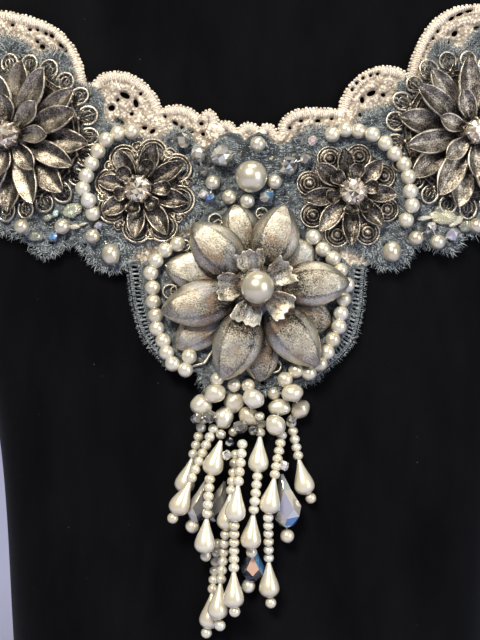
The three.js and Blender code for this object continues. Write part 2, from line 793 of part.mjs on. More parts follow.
addLargeFlower("large_flower_left", -70, 53);
addLargeFlower("large_flower_right", 65.5, 54);
addSmallFlower("small_flower_left", -32.2, 37.5, -15, [14.6, 14.6, 14, 13, 12.6, 12.6, 14, 15]);
addSmallFlower("small_flower_right", 29.5, 36.8, 3, [12.8, 12.5, 12.9, 12.9, 14, 14.4, 14.6, 13]);

// Centre flower: six broad domed leaves over six lower ones, and a ragged crown round the pearl.
const centreFlower = {
  u: 2.1,
  v: 9.3,
  stoneHeight: 17,
  hub: [
    [9, 0],
    [8.5, 6.2],
    [5, 9.2],
  ],
};
const broadLeaf = { inner: 7.5, width: 13, low: 5.6, high: 5.8, dome: 2.4, thickness: 1, form: "round" };
const broadLeaves = [
  { angle: 134, outer: 25 },
  { angle: 72, outer: 24.5 },
  { angle: 4, outer: 25 },
  { angle: -53, outer: 27 },
  { angle: -110, outer: 27 },
  { angle: -166, outer: 27 },
];
const lowerLeaf = { inner: 8, width: 10, low: 1.6, high: 1.6, dome: 1, thickness: 0.9, form: "round" };
const lowerLeaves = [
  { angle: 105, outer: 24 },
  { angle: 165, outer: 24 },
  { angle: 217, outer: 26 },
  { angle: 272, outer: 25 },
  { angle: 333, outer: 22 },
  { angle: 40, outer: 19.5 },
];
const crownLeaf = {
  inner: 4.4,
  outer: 11.4,
  width: 8,
  low: 9,
  high: 10.8,
  dome: 0.5,
  thickness: 1,
  form: "ragged",
};
const crownLeaves = Array.from({ length: 5 }, (_, i) => ({ angle: 104 + 72 * i }));

const centreSheet = flowerSheet(centreFlower.u, centreFlower.v, centreFlower.stoneHeight);
const centreLeaves = [
  ...lowerLeaves.map((row) => leaf(centreSheet, { ...lowerLeaf, ...row })),
  ...broadLeaves.map((row) => leaf(centreSheet, { ...broadLeaf, ...row })),
  ...crownLeaves.map((row) => leaf(centreSheet, { ...crownLeaf, ...row })),
];
addPiece("centre_flower", unionOf([stack(centreSheet, centreFlower.hub, 10), ...centreLeaves]), satinSilver);

// --- Beads ---------------------------------------------------------------------------------------------------

// Rows of a bead's profile: share of its half length from the middle, and share of its radius.
const beadForms = {
  round: [
    [-0.9, 0.45],
    [0, 1],
    [0.9, 0.45],
  ],
  drop: [
    [-0.97, 0.2],
    [-0.3, 0.62],
    [0.4, 1],
    [0.9, 0.45],
  ],
  briolette: [
    [-0.97, 0.2],
    [-0.1, 0.9],
    [0.35, 0.95],
    [0.9, 0.3],
  ],
};

// Balls that stand for a bead where it rests on others: share of its half length, and share of its radius.
const restBalls = {
  round: [[0, 1]],
  drop: [
    [-0.55, 0.5],
    [-0.05, 0.82],
    [0.4, 1],
  ],
  briolette: [
    [-0.5, 0.65],
    [0.15, 1],
    [0.7, 0.7],
  ],
};

const laid = [];
const overlayTop = overlayBack + overlayWall;
const supports = [
  { outline: panelOutline, top: overlayTop },
  { outline: blueLeftShape.getPoints(3), top: overlayTop },
  { outline: blueRightShape.getPoints(3), top: overlayTop },
  { outline: ivoryOutline, top: laceBack + laceWall },
];
function isInside(outline, u, v) {
  return outline.reduce((inside, a, i) => {
    const b = outline[(i + 1) % outline.length];
    const crosses = a.y > v !== b.y > v && u < a.x + ((b.x - a.x) * (v - a.y)) / (b.y - a.y);
    return crosses ? !inside : inside;
  }, false);
}

// Top of what lies under a round foot.
function groundUnder(u, v, radius) {
  const spots = Array.from({ length: 6 }, (_, i) => [
    u + radius * Math.cos((i * Math.PI) / 3),
    v + radius * Math.sin((i * Math.PI) / 3),
  ]);
  const feet = [[u, v], ...spots];
  const layers = supports.filter(({ outline }) => feet.some(([x, y]) => isInside(outline, x, y)));
  const under = discs.filter((disc) => Math.hypot(u - disc.u, v - disc.v) < disc.radius + radius);
  return Math.max(velvetNap, ...layers.map(({ top }) => top), ...under.map(({ top }) => top));
}

function ballsOf(bead) {
  const [du, dv] = bead.axis;
  return restBalls[bead.form].map(([share, part]) => ({
    u: bead.u + du * share * bead.half,
    v: bead.v + dv * share * bead.half,
    radius: part * bead.radius,
  }));
}

// Height of a bead's middle when it lies on the lace, the velvet and the beads laid before it.
function restHeight(bead) {
  return ballsOf(bead).reduce((height, ball) => {
    let rest = groundUnder(ball.u, ball.v, ball.radius * 0.7) + pieceGap / 2 + ball.radius;
    for (const other of laid) {
      const reach = ball.radius + other.radius + beadGap;
      const apart = Math.hypot(ball.u - other.u, ball.v - other.v);
      if (apart < reach) rest = Math.max(rest, other.w + Math.sqrt(reach ** 2 - apart ** 2));
    }
    return Math.max(height, rest);
  }, 0);
}

// Beads of one thread are laid together, then count as laid for the next. A taut thread climbs to a bead that
// lies high, and doesn't drop sharply behind it.
const threadSlope = 0.45;

function layThread(beads, slope) {
  beads.forEach((bead, i) => {
    const before = beads[i - 1] ?? bead;
    const after = beads[i + 1] ?? bead;
    bead.axis ??= new THREE.Vector2(after.u - before.u, after.v - before.v).normalize().toArray();
    bead.rest = restHeight(bead);
  });
  for (const bead of beads) {
    const climbs = beads.map((other) => {
      const apart = Math.hypot(other.u - bead.u, other.v - bead.v) - other.half - bead.half;
      return other === bead ? bead.rest : other.rest - slope * (Math.max(apart, 0) + seedDiameter / 2);
    });
    bead.w = Math.max(...climbs);
  }
  for (const bead of beads) laid.push(...ballsOf(bead).map((ball) => ({ ...ball, w: bead.w })));
  return beads;
}

function bead(u, v, size, length = size, form = "round") {
  return { u, v, radius: size / 2, half: length / 2, form };
}

// One skin over a stretch of beads and the thread between them.
function stretchSolid(beads, sides) {
  const rings = [];
  let end;
  beads.forEach((item, i) => {
    const middle = pointAbove(item.u, item.v, item.w);
    const before = beads[i - 1];
    const after = beads[i + 1];
    const [du, dv] = item.axis;
    const isLong = item.form !== "round" || beads.length === 1;
    const ahead = isLong || !after ? [item.u + du, item.v + dv, item.w] : [after.u, after.v, after.w];
    const behind = isLong || !before ? [item.u - du, item.v - dv, item.w] : [before.u, before.v, before.w];
    const axis = pointAbove(...ahead).sub(pointAbove(...behind)).normalize();
    const across = axis.clone().cross(sheetOut).normalize();
    const lift = across.clone().cross(axis);
    const rows = beadForms[item.form].map(([share, part]) => ({
      at: middle.clone().addScaledVector(axis, share * item.half),
      radius: part * item.radius,
    }));
    if (end && rows[0].at.distanceTo(end) < 0.9) rows.shift();
    for (const { at, radius } of rows) {
      rings.push(
        Array.from({ length: sides }, (_, k) => {
          const turn = (2 * Math.PI * k) / sides;
          return at
            .clone()
            .addScaledVector(across, radius * Math.cos(turn))
            .addScaledVector(lift, radius * Math.sin(turn));
        }),
      );
    }
    end = rows.at(-1).at;
  });
  return loft(rings);
}

function addStretch(name, beads, material) {
  const sides = 5;
  addPiece(name, stretchSolid(layThread(beads, Infinity), sides), material);
}

// Beads evenly spaced along a route.
function evenBeads(route, size) {
  const curve = new THREE.SplineCurve(route.map(([u, v]) => new THREE.Vector2(u, v)));
  const count = Math.floor(curve.getLength() / size);
  return curve.getSpacedPoints(count).map(({ x, y }) => bead(x, y, size));
}

// Large round pearl on its seat; returns the height of its middle.
function addPearl(name, u, v, seat) {
  const radius = largePearlDiameter / 2;
  const height = seat + pieceGap + radius;
  const pearl = new THREE.Mesh(new THREE.SphereGeometry(radius, 10, 7), pearlNacre);
  pearl.name = name;
  pearl.position.copy(pointAbove(u, v, height));
  choker.add(pearl);
  return height;
}

const [, hubTop] = centreFlower.hub.at(-1);
addPearl("centre_pearl", centreFlower.u, centreFlower.v, flowerBack + hubTop);
const topPearl = { u: 0.3, v: 41 };
const topPearlHeight = addPearl("top_pearl", topPearl.u, topPearl.v, overlayTop);
laid.push({ ...topPearl, w: topPearlHeight, radius: largePearlDiameter / 2 });

const pearlRoutes = {
  pearl_string_left: [
    [-33.8, 53.8],
    [-41.2, 51.5],
    [-45.3, 44.7],
    [-47.8, 38.2],
    [-44.9, 30.5],
  ],
  pearl_string_right: [
    [23.5, 53],
    [31, 54.3],
    [38.6, 50.5],
    [44.7, 41],
    [45.9, 33],
    [44.6, 28.6],
  ],
  panel_pearls_left: [
    [-20.7, 21.7],
    [-26.9, 17],
    [-28, 9],
    [-26.7, -2.4],
    [-22.2, -12.3],
    [-18.5, -14.2],
  ],
  panel_pearls_right: [
    [18, 23.7],
    [23.7, 18],
    [27.4, 10],
    [26, 1.9],
    [22, -9],
    [16.8, -15.1],
    [10, -17],
  ],
};
for (const [name, route] of Object.entries(pearlRoutes)) {
  addStretch(name, evenBeads(route, pearlDiameter), pearlNacre);
}

addStretch(
  "top_beads_lower",
  [
    bead(-19.8, 51, 4.6),
    bead(-15, 47.5, 4.4),
    bead(-13.5, 42.5, 4),
    bead(-10.7, 39.3, 4),
    bead(-6, 35.2, 4.2),
    bead(-0.8, 34, 4.2),
    bead(4.7, 35.5, 4.4),
    bead(7, 39.5, 4.2),
    bead(11, 44, 4.6),
    bead(18, 51.3, 2.6),
  ],
  pearlNacre,
);
addStretch("top_beads_upper", [bead(-8, 46.5, 4.8), bead(2.3, 50.2, 4.4)], pearlNacre);
addStretch(
  "edge_beads_left",
  [
    bead(-64.8, 26.8, 4.4),
    bead(-60.5, 24.5, 3.6),
    bead(-56.3, 23.4, 3.2),
    bead(-53.3, 26.4, 4.2),
    bead(-49.6, 28.2, 3.6),
    bead(-44.8, 24.2, 4.2),
    bead(-39.8, 18.7, 5.2, 6),
  ],
  pearlNacre,
);
addStretch(
  "edge_beads_right",
  [
    bead(40.5, 19.5, 5, 6),
    bead(47.5, 23.3, 4.3),
    bead(50.6, 27.6, 3.6),
    bead(53.5, 22.6, 4.4),
    bead(57.5, 24.5, 3),
    bead(61, 27.4, 4),
    bead(65.5, 27, 4.4),
  ],
  pearlNacre,
);

// --- Tassel --------------------------------------------------------------------------------------------------

const stationForms = {
  drop: { size: 6, length: 10, form: "drop" },
  greyDrop: { size: 6.6, length: 12, form: "briolette" },
  navyDrop: { size: 7, length: 11, form: "briolette" },
  largeDrop: { size: 8, length: 14, form: "briolette" },
  pearl: { size: 4, length: 4, form: "round" },
  end: { size: 3.2, length: 3.2, form: "round" },
};

// Strands from the rearmost to the foremost: where the seed pearls start, then each larger bead's middle.
const strands = [
  { name: "strand_4", start: [-7.8, -46], stations: [["greyDrop", -9, -51.8]] },
  {
    name: "strand_5",
    start: [-12.9, -46.8],
    stations: [
      ["greyDrop", -14.5, -53],
      ["pearl", -16.5, -60.8],
    ],
  },
  {
    name: "strand_9",
    start: [0.6, -63.5],
    stations: [
      ["navyDrop", 0.6, -69],
      ["pearl", -0.3, -76.3],
    ],
  },
  {
    name: "strand_12",
    start: [10, -45.6],
    stations: [
      ["largeDrop", 10.5, -53],
      ["pearl", 10.6, -62],
    ],
  },
  {
    name: "strand_7",
    start: [-9.8, -62.6],
    stations: [
      ["drop", -12, -84],
      ["end", -12.5, -90.5],
    ],
  },
  {
    name: "strand_6",
    start: [-4.4, -37.2],
    stations: [
      ["drop", -7.2, -56],
      ["drop", -8.8, -81.4],
      ["end", -8.6, -87.8],
    ],
  },
  { name: "strand_1", start: [-13.6, -26.9], stations: [["drop", -18.7, -44.5]] },
  {
    name: "strand_2",
    start: [-10.5, -30],
    stations: [
      ["drop", -20, -51],
      ["end", -22.1, -57.2],
    ],
  },
  {
    name: "strand_13",
    start: [11.3, -28.3],
    stations: [
      ["drop", 15.8, -45.5],
      ["end", 17.3, -51.8],
    ],
  },
  {
    name: "strand_3",
    start: [-8.3, -34.6],
    stations: [
      ["drop", -10.3, -40.5],
      ["drop", -12.8, -62.5],
      ["end", -12.6, -69],
    ],
  },
  {
    name: "strand_8",
    start: [-2.1, -34.2],
    stations: [
      ["drop", -4, -53.5],
      ["drop", -4.8, -77.7],
      ["end", -4.5, -84],
    ],
  },
  {
    name: "strand_11",
    start: [8.8, -31.8],
    stations: [
      ["drop", 5.2, -51.5],
      ["drop", 5.3, -75],
      ["end", 5.9, -81.5],
    ],
  },
  {
    name: "strand_10",
    start: [3.2, -29.3],
    stations: [
      ["drop", 2.7, -39.5],
      ["drop", 0.2, -61.5],
    ],
  },
];

const seedSqueeze = 0.15; // share of a seed that a full thread may be short of

function addStrand({ name, start, stations }) {
  const stretches = [];
  let from = new THREE.Vector2(...start);
  for (const [kind, u, v] of stations) {
    const { size, length, form } = stationForms[kind];
    const middle = new THREE.Vector2(u, v);
    const axis = middle.clone().sub(from).normalize();
    const top = middle.clone().addScaledVector(axis, -length / 2);
    const run = top.clone().sub(from).dot(axis);
    const count = Math.floor(run / seedDiameter + seedSqueeze);
    if (count > 0) {
      const seeds = Array.from({ length: count }, (_, i) => {
        const at = from.clone().lerp(top, (i + 0.5) / count);
        return bead(at.x, at.y, seedDiameter);
      });
      stretches.push({ kind: "seeds", beads: seeds });
    }
    const drop = { ...bead(u, v, size, length, form), axis: axis.toArray() };
    if (stretches.at(-1)?.kind === "drop") stretches.at(-1).beads.push(drop);
    else stretches.push({ kind: "drop", beads: [drop] });
    from = middle.clone().addScaledVector(axis, length / 2);
  }
  layThread(
    stretches.flatMap(({ beads }) => beads),
    threadSlope,
  );
  let dropCount = 0;
  for (const { kind, beads } of stretches) {
    if (kind === "drop") dropCount += 1;
    const material = beads[0].form === "briolette" ? clearCrystal : pearlNacre;
    const [number, sides] = kind === "drop" ? [dropCount, 5] : [dropCount + 1, 4];
    addPiece(`${name}_${kind}_${number}`, stretchSolid(beads, sides), material);
  }
}
strands.forEach(addStrand);

// Potato-shaped pearls that the strands hang from, along two threads.
addStretch(
  "cluster_left",
  [
    bead(-9.4, -16.9, 3.8),
    bead(-10, -21, 5, 6),
    bead(-14, -25, 5.6, 5),
    bead(-7.5, -28, 5.2, 5.6),
    bead(-4.6, -24, 5, 5),
    bead(-4.6, -18.6, 3.8),
    bead(-0.6, -18.7, 3.8),
  ],
  pearlNacre,
);
addStretch(
  "cluster_right",
  [
    bead(6.8, -20.4, 3.8),
    bead(12, -20.9, 5, 5.4),
    bead(14.3, -25.6, 5, 5.6),
    bead(8.5, -25, 5.2, 5.4),
    bead(7.3, -30, 5.4, 5),
    bead(0.8, -27.4, 5, 5.6),
    bead(1, -22.2, 5, 5.2),
  ],
  pearlNacre,
);

export default choker;
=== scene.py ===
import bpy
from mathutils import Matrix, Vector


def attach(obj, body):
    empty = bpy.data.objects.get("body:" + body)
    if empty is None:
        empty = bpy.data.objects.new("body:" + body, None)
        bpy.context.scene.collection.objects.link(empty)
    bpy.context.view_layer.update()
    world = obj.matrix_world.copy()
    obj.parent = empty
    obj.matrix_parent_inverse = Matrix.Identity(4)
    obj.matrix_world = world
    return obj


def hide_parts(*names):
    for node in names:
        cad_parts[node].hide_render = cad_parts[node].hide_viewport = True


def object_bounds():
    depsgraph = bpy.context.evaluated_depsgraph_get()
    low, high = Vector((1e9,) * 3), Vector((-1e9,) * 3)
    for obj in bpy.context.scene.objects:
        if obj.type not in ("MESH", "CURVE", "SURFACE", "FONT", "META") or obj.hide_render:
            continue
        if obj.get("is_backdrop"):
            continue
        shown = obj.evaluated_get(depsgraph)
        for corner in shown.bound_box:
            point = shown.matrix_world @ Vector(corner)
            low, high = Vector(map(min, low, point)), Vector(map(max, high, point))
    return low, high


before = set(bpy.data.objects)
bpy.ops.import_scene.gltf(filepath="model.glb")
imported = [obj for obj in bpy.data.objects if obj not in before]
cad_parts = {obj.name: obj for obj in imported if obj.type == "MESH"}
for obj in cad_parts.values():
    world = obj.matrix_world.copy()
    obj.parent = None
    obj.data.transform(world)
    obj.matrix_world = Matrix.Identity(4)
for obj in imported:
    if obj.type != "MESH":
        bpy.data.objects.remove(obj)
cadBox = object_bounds()

import copy
import math
import random

import bpy
import numpy as np
from mathutils import Vector

rng = random.Random(7)
millimetre = 0.001
body = "root"  # every piece rides on this one

# layout: u to the right and v up a sheet that leans on the chest, w above the velvet, all in mm
sheetLean = math.radians(12)
sheetHeight = 124
viewingDistance = 400
viewingU = -2.9
rayLead, rayReach = 130, 330  # a ray starts this far before the sheet and is this long
bustHeight = 290
bustPower = 2.3  # 2 would make the section an ellipse
pieceGap = 0.3
beadGap = 0.04
laceBack, laceWall = 1.06, 1.1
overlayBack, overlayWall = 2.41, 1.2
overlayTop = overlayBack + overlayWall
flowerBack = 3.9
frontReach = 72  # the front laces end at this u
seedDiameter, pearlDiameter = 2.8, 4.1
velvetNap = 0.2

# z, half width, and the y of the front, the widest place and the back
bustSections = np.array([
    (0, 76.5, -62.5, 2, 42), (22, 77, -61.6, 2, 43), (53, 77.9, -55.2, 3, 44), (75, 79.3, -50.6, 4, 45),
    (95, 82, -46.3, 5, 46), (116, 86.5, -41.9, 6, 47), (136, 91, -37.6, 6, 48), (160, 94.5, -32.5, 7, 49),
    (180, 95, -28.3, 8, 50), (198, 92, -24.6, 9, 50.5), (212, 85, -22.6, 10, 50.5),
    (224, 75, -22.4, 11, 50), (236, 65, -23.6, 11.5, 50), (250, 58, -25.5, 12, 50),
    (268, 55, -27, 12, 49.5), (290, 54, -28, 12, 49),
], float)  # fmt: skip


# The oval's measures at any height, on a smooth curve through the sections.
def sectionAt(z):
    rows = bustSections
    height = np.clip(z, rows[0, 0], rows[-1, 0])
    i = np.clip(np.searchsorted(rows[:, 0], height) - 1, 0, len(rows) - 2)
    low, high = rows[i], rows[i + 1]
    below, above = rows[np.maximum(i - 1, 0)], rows[np.minimum(i + 2, len(rows) - 1)]
    span = (high[..., 0] - low[..., 0])[..., None]
    t = ((height - low[..., 0])[..., None]) / span
    slopeLow = (high - below) / (high[..., :1] - below[..., :1]) * span
    slopeHigh = (above - low) / (above[..., :1] - low[..., :1]) * span
    blend = (
        (2 * t**3 - 3 * t**2 + 1) * low
        + (t**3 - 2 * t**2 + t) * slopeLow
        + (3 * t**2 - 2 * t**3) * high
        + (t**3 - t**2) * slopeHigh
    )
    return blend[..., 1], blend[..., 2], blend[..., 3], blend[..., 4]


def clamped(value):
    return np.clip(value, 0, 1)


# 1 at the middle, falling to near 0 two widths away.
def bell(value, middle, width):
    return np.exp(-(((value - middle) / width) ** 2))


def unit(vectors):
    if vectors.ndim == 1:
        return vectors / np.linalg.norm(vectors)
    return vectors / np.linalg.norm(vectors, axis=-1, keepdims=True)


def turned(x, y, degrees):
    c, s = math.cos(math.radians(degrees)), math.sin(math.radians(degrees))
    return x * c - y * s, x * s + y * c


def signedPower(value, power):
    return np.sign(value) * np.abs(value) ** power


def sectionPoint(z, turn):
    halfWidth, front, widest, back = sectionAt(z)
    along = signedPower(np.sin(turn), 2 / bustPower)
    depth = np.where(along < 0, widest - front, back - widest)
    x = halfWidth * signedPower(np.cos(turn), 2 / bustPower)
    return np.stack([x, widest + depth * along, z + 0 * x], -1)


def bustField(p):
    halfWidth, front, widest, back = sectionAt(p[..., 2])
    depth = np.where(p[..., 1] < widest, widest - front, back - widest)
    across = np.abs(p[..., 0] / halfWidth) ** bustPower
    along = np.abs((p[..., 1] - widest) / depth) ** bustPower
    return across + along - 1


def bustNormal(p):
    slopes = []
    for step in 0.02 * np.eye(3):
        slopes.append(bustField(p + step) - bustField(p - step))
    return unit(np.stack(slopes, -1))


# Where rays meet the bust: strides up to the surface, then halvings of the last stride.
def bustHit(origin, direction, reach):
    stride, halvings = 4, 22
    near = np.zeros(origin.shape[:-1])
    going = np.ones(near.shape, bool)
    for _ in range(int(reach / stride)):
        going &= bustField(origin + direction * (near + stride)[..., None]) > 0
        near = np.where(going, near + stride, near)
        if not going.any():
            break
    far = near + stride
    for _ in range(halvings):
        middle = (near + far) / 2
        outside = bustField(origin + direction * middle[..., None]) > 0
        near = np.where(outside, middle, near)
        far = np.where(outside, far, middle)
    return origin + direction * far[..., None]


sheetUp = np.array([0, math.sin(sheetLean), math.cos(sheetLean)])
sheetOut = np.array([0, -math.cos(sheetLean), math.sin(sheetLean)])
sheetMiddle = np.array([0, float(sectionAt(np.array(sheetHeight))[1]), sheetHeight])
viewingPoint = sheetMiddle + viewingDistance * sheetOut + np.array([viewingU, 0, 0])


def grid(rows, columns):
    return np.meshgrid(rows, columns, indexing="ij")


# Feet and normals on the bust over a grid of sheet coordinates.
class Sheet:
    def __init__(self, ray, left, right, bottom, top, step):
        self.low, self.step = np.array([left, bottom], float), step
        u, v = grid(np.arange(left, right + step, step), np.arange(bottom, top + step, step))
        origin, direction, reach = ray(u, v)
        self.feet = bustHit(origin, direction, reach)
        self.normals = bustNormal(self.feet)

    def foot(self, u, v):
        at = (np.stack(np.broadcast_arrays(u, v), -1).astype(float) - self.low) / self.step
        cell = np.clip(np.floor(at).astype(int), 0, np.array(self.feet.shape[:2]) - 2)
        i, j = cell[..., 0], cell[..., 1]
        a, b = np.moveaxis(at - cell, -1, 0)[..., None]
        found = []
        for grid in (self.feet, self.normals):
            low = grid[i, j] * (1 - a) + grid[i + 1, j] * a
            high = grid[i, j + 1] * (1 - a) + grid[i + 1, j + 1] * a
            found.append(low * (1 - b) + high * b)
        return found

    def place(self, u, v, w):
        feet, normals = self.foot(u, v)
        return feet + normals * np.asarray(w, float)[..., None]


def frontRay(u, v):
    target = sheetMiddle + v[..., None] * sheetUp + u[..., None] * np.array([1, 0, 0])
    direction = unit(target - viewingPoint)
    return viewingPoint + direction * (viewingDistance - rayLead), direction, rayReach


front = Sheet(frontRay, -80, 80, -104, 96, 2)


# Where a point in space is seen on the sheet.
def toSheet(p):
    sight = p - viewingPoint
    scale = viewingDistance / -(sight @ sheetOut)
    onSheet = viewingPoint + sight * scale[..., None] - sheetMiddle
    return onSheet[..., 0], onSheet @ sheetUp


# Foot and normal on the bust of a point w above it that is seen at u, v.
def footBelow(u, v, w):
    u, v, w = (np.asarray(x, float) for x in (u, v, w))
    guessU, guessV = u, v
    for _ in range(5):
        foot, normal = front.foot(guessU, guessV)
        seenU, seenV = toSheet(foot + normal * w[..., None])
        guessU, guessV = guessU + u - seenU, guessV + v - seenV
    return foot, normal


def pointAbove(u, v, w):
    foot, normal = footBelow(u, v, w)
    return foot + normal * np.asarray(w, float)[..., None]


# The front sheet for cloth that lies at some height above the velvet; the shift fades out before its sides.
def liftedSheet(lift):
    sheet = copy.copy(front)
    u, v = grid(*(front.low[k] + front.step * np.arange(front.feet.shape[k]) for k in (0, 1)))
    fade = clamped((frontReach - 3 - np.abs(u)) / 9)
    sheet.feet, sheet.normals = footBelow(u, v, lift * fade)
    return sheet


ivorySheet, yarnSheet = liftedSheet(2.3), liftedSheet(3.4)


# A flat sheet square to the bust under a flower's stone, laid back onto the bust.
def flowerSheet(u, v, w, extent):
    clearance, step = 45, 1.5
    foot, normal = footBelow(u, v, w)
    normal = unit(normal)
    right = unit(np.cross([0, 0, 1], normal))
    up = np.cross(normal, right)

    def ray(s, t):
        origin = foot + s[..., None] * right + t[..., None] * up + clearance * normal
        return origin, -normal + 0 * origin, 2 * clearance

    return Sheet(ray, -extent, extent, -extent, extent, step)


# Vertices and faces gathered from many small parts, with named numbers at each vertex.
class Shape:
    def __init__(self):
        self.points, self.faces, self.values, self.count = [], [], {}, 0

    def add(self, points, faces, **values):
        points = np.asarray(points, float).reshape(-1, 3)
        self.points.append(points)
        self.faces.extend([[k + self.count for k in face] for face in faces])
        for name in set(self.values) | set(values):
            chunks = self.values.setdefault(name, [np.zeros(self.count)] if self.count else [])
            value = np.asarray(values.get(name, 0.0), float).reshape(-1)
            chunks.append(np.broadcast_to(value, (len(points),)).copy())
        self.count += len(points)
        return self


def makePiece(name, shape, material, nodes, smooth=True):
    points = np.concatenate(shape.points) * millimetre
    mesh = bpy.data.meshes.new(name)
    mesh.from_pydata(points.tolist(), [], shape.faces)
    for valueName, chunks in shape.values.items():
        attribute = mesh.attributes.new(valueName, "FLOAT", "POINT")
        attribute.data.foreach_set("value", np.concatenate(chunks).astype(np.float32))
    mesh.polygons.foreach_set("use_smooth", [smooth] * len(mesh.polygons))
    mesh.materials.append(material)
    mesh.update()
    piece = bpy.data.objects.new(name, mesh)
    bpy.context.scene.collection.objects.link(piece)
    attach(piece, body)
    if nodes:
        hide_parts(*nodes)
    return piece


def gridFaces(rows, columns, closed=False):
    faces = []
    for i in range(rows - 1):
        a, b = i * columns, (i + 1) * columns
        for j in range(columns if closed else columns - 1):
            k = (j + 1) % columns
            faces.append([a + j, a + k, b + k, b + j])
    return faces


# Faces of a skin of rings, closed by fans round the two end points that stand last.
def skinFaces(rings, sides):
    faces = gridFaces(rings, sides, closed=True)
    n = rings * sides
    for j in range(sides):
        k = (j + 1) % sides
        faces += [[n, k, j], [n + 1, n - sides + j, n - sides + k]]
    return faces


# A closed plate between two grids of points. A value is one grid for both sides, or a pair of grids.
def addSlab(shape, top, low, mirror=False, inward=False, **values):
    rows, columns = top.shape[:2]
    faces = gridFaces(rows, columns)
    if mirror:
        faces = [face[::-1] for face in faces]
    n = rows * columns
    under = [[k + n for k in face[::-1]] for face in faces]
    index = np.arange(n).reshape(rows, columns)
    rim = np.concatenate([index[0], index[1:, -1], index[-1, -2::-1], index[-2:0:-1, 0]]).tolist()
    walls = [[b, a, a + n, b + n] for a, b in zip(rim, rim[1:] + rim[:1])]
    if inward:
        walls = [[b, a, d, c] for a, b, c, d in walls]
    both = {key: np.ravel(value if np.ndim(value) > 2 else (value, value)) for key, value in values.items()}
    shape.add(np.concatenate([top.reshape(-1, 3), low.reshape(-1, 3)]), [*faces, *under, *walls], **both)


# Round cord along a path; plies and twist (turns per mm) give it laid strands.
def tube(path, radius, sides, plies=0, twist=0.0, depth=0.2):
    path = np.asarray(path, float)
    radius = np.broadcast_to(np.asarray(radius, float), (len(path),))
    ahead = np.gradient(path, axis=0)
    ahead /= np.linalg.norm(ahead, axis=1, keepdims=True) + 1e-9
    side = np.cross(ahead, sheetOut)
    side /= np.linalg.norm(side, axis=1, keepdims=True) + 1e-9
    up = np.cross(side, ahead)
    length = np.concatenate([[0], np.cumsum(np.linalg.norm(np.diff(path, axis=0), axis=1))])
    turn = np.arange(sides) * 2 * np.pi / sides
    swell = np.ones((len(path), sides))
    if plies:
        swell -= depth * (1 - np.abs(np.cos(plies / 2 * turn[None] + np.pi * twist * length[:, None])))
    across = (radius[:, None] * swell)[..., None]
    rings = (
        path[:, None]
        + side[:, None] * np.cos(turn)[None, :, None] * across
        + up[:, None] * np.sin(turn)[None, :, None] * across
    )
    return np.concatenate([rings.reshape(-1, 3), path[:1], path[-1:]]), skinFaces(len(path), sides)


# Skin round an axis; profile rows are distance along the axis and radius.
def lathe(middle, axis, across, profile, sides):
    axis, across = unit(np.asarray(axis, float)), np.asarray(across, float)
    across = unit(across - axis * (across @ axis))
    up = np.cross(axis, across)
    turn = np.arange(sides) * 2 * np.pi / sides
    rings = [
        middle + axis * along + radius * (np.cos(turn)[:, None] * across + np.sin(turn)[:, None] * up)
        for along, radius in profile
    ]
    points = np.concatenate([*rings, [middle + axis * profile[0][0]], [middle + axis * profile[-1][0]]])
    return points, skinFaces(len(profile), sides)


def ballProfile(half, radius, rings):
    pole = 0.16  # radians left open round the axis
    turns = np.linspace(-np.pi / 2 + pole, np.pi / 2 - pole, rings)
    return [(half * math.sin(t), radius * math.cos(t)) for t in turns]


# Rows are the end of a straight step, or the end and the two handles of a curve.
def bezierOutline(start, rows, count=12):
    points = [np.array(start, float)]
    for row in rows:
        end = np.array(row[:2], float)
        if len(row) == 2:
            points.append(end)
            continue
        a, b = np.array(row[2:4], float), np.array(row[4:6], float)
        begin = points[-1]
        for k in range(1, count + 1):
            t = k / count
            points.append(
                (1 - t) ** 3 * begin + 3 * (1 - t) ** 2 * t * a + 3 * (1 - t) * t**2 * b + t**3 * end
            )
    return np.array(points)


# Catmull-Rom through the points, evenly spaced.
def smoothCurve(points, step):
    points = np.asarray(points, float)
    padded = np.concatenate([2 * points[:1] - points[1:2], points, 2 * points[-1:] - points[-2:-1]])
    t = np.linspace(0, 1, 12, endpoint=False)[:, None]
    fine = []
    for p0, p1, p2, p3 in zip(padded, padded[1:], padded[2:], padded[3:]):
        second, third = 2 * p0 - 5 * p1 + 4 * p2 - p3, 3 * p1 - p0 - 3 * p2 + p3
        fine.append(0.5 * (2 * p1 + (p2 - p0) * t + second * t**2 + third * t**3))
    return evenly(np.concatenate([*fine, padded[-2:-1]]), step)


def evenly(line, step):
    length = np.concatenate([[0], np.cumsum(np.linalg.norm(np.diff(line, axis=0), axis=1))])
    count = max(2, int(round(length[-1] / step)) + 1)
    at = np.linspace(0, length[-1], count)
    return np.stack([np.interp(at, length, line[:, k]) for k in range(line.shape[1])], -1)


def isInside(outline, u, v):
    ax, ay = outline[:, 0], outline[:, 1]
    bx, by = np.roll(ax, -1), np.roll(ay, -1)
    u, v = np.asarray(u, float)[..., None], np.asarray(v, float)[..., None]
    run = np.where(np.abs(by - ay) < 1e-9, 1e-9, by - ay)
    crosses = ((ay > v) != (by > v)) & (u < ax + (bx - ax) * (v - ay) / run)
    return crosses.sum(-1) % 2 == 1


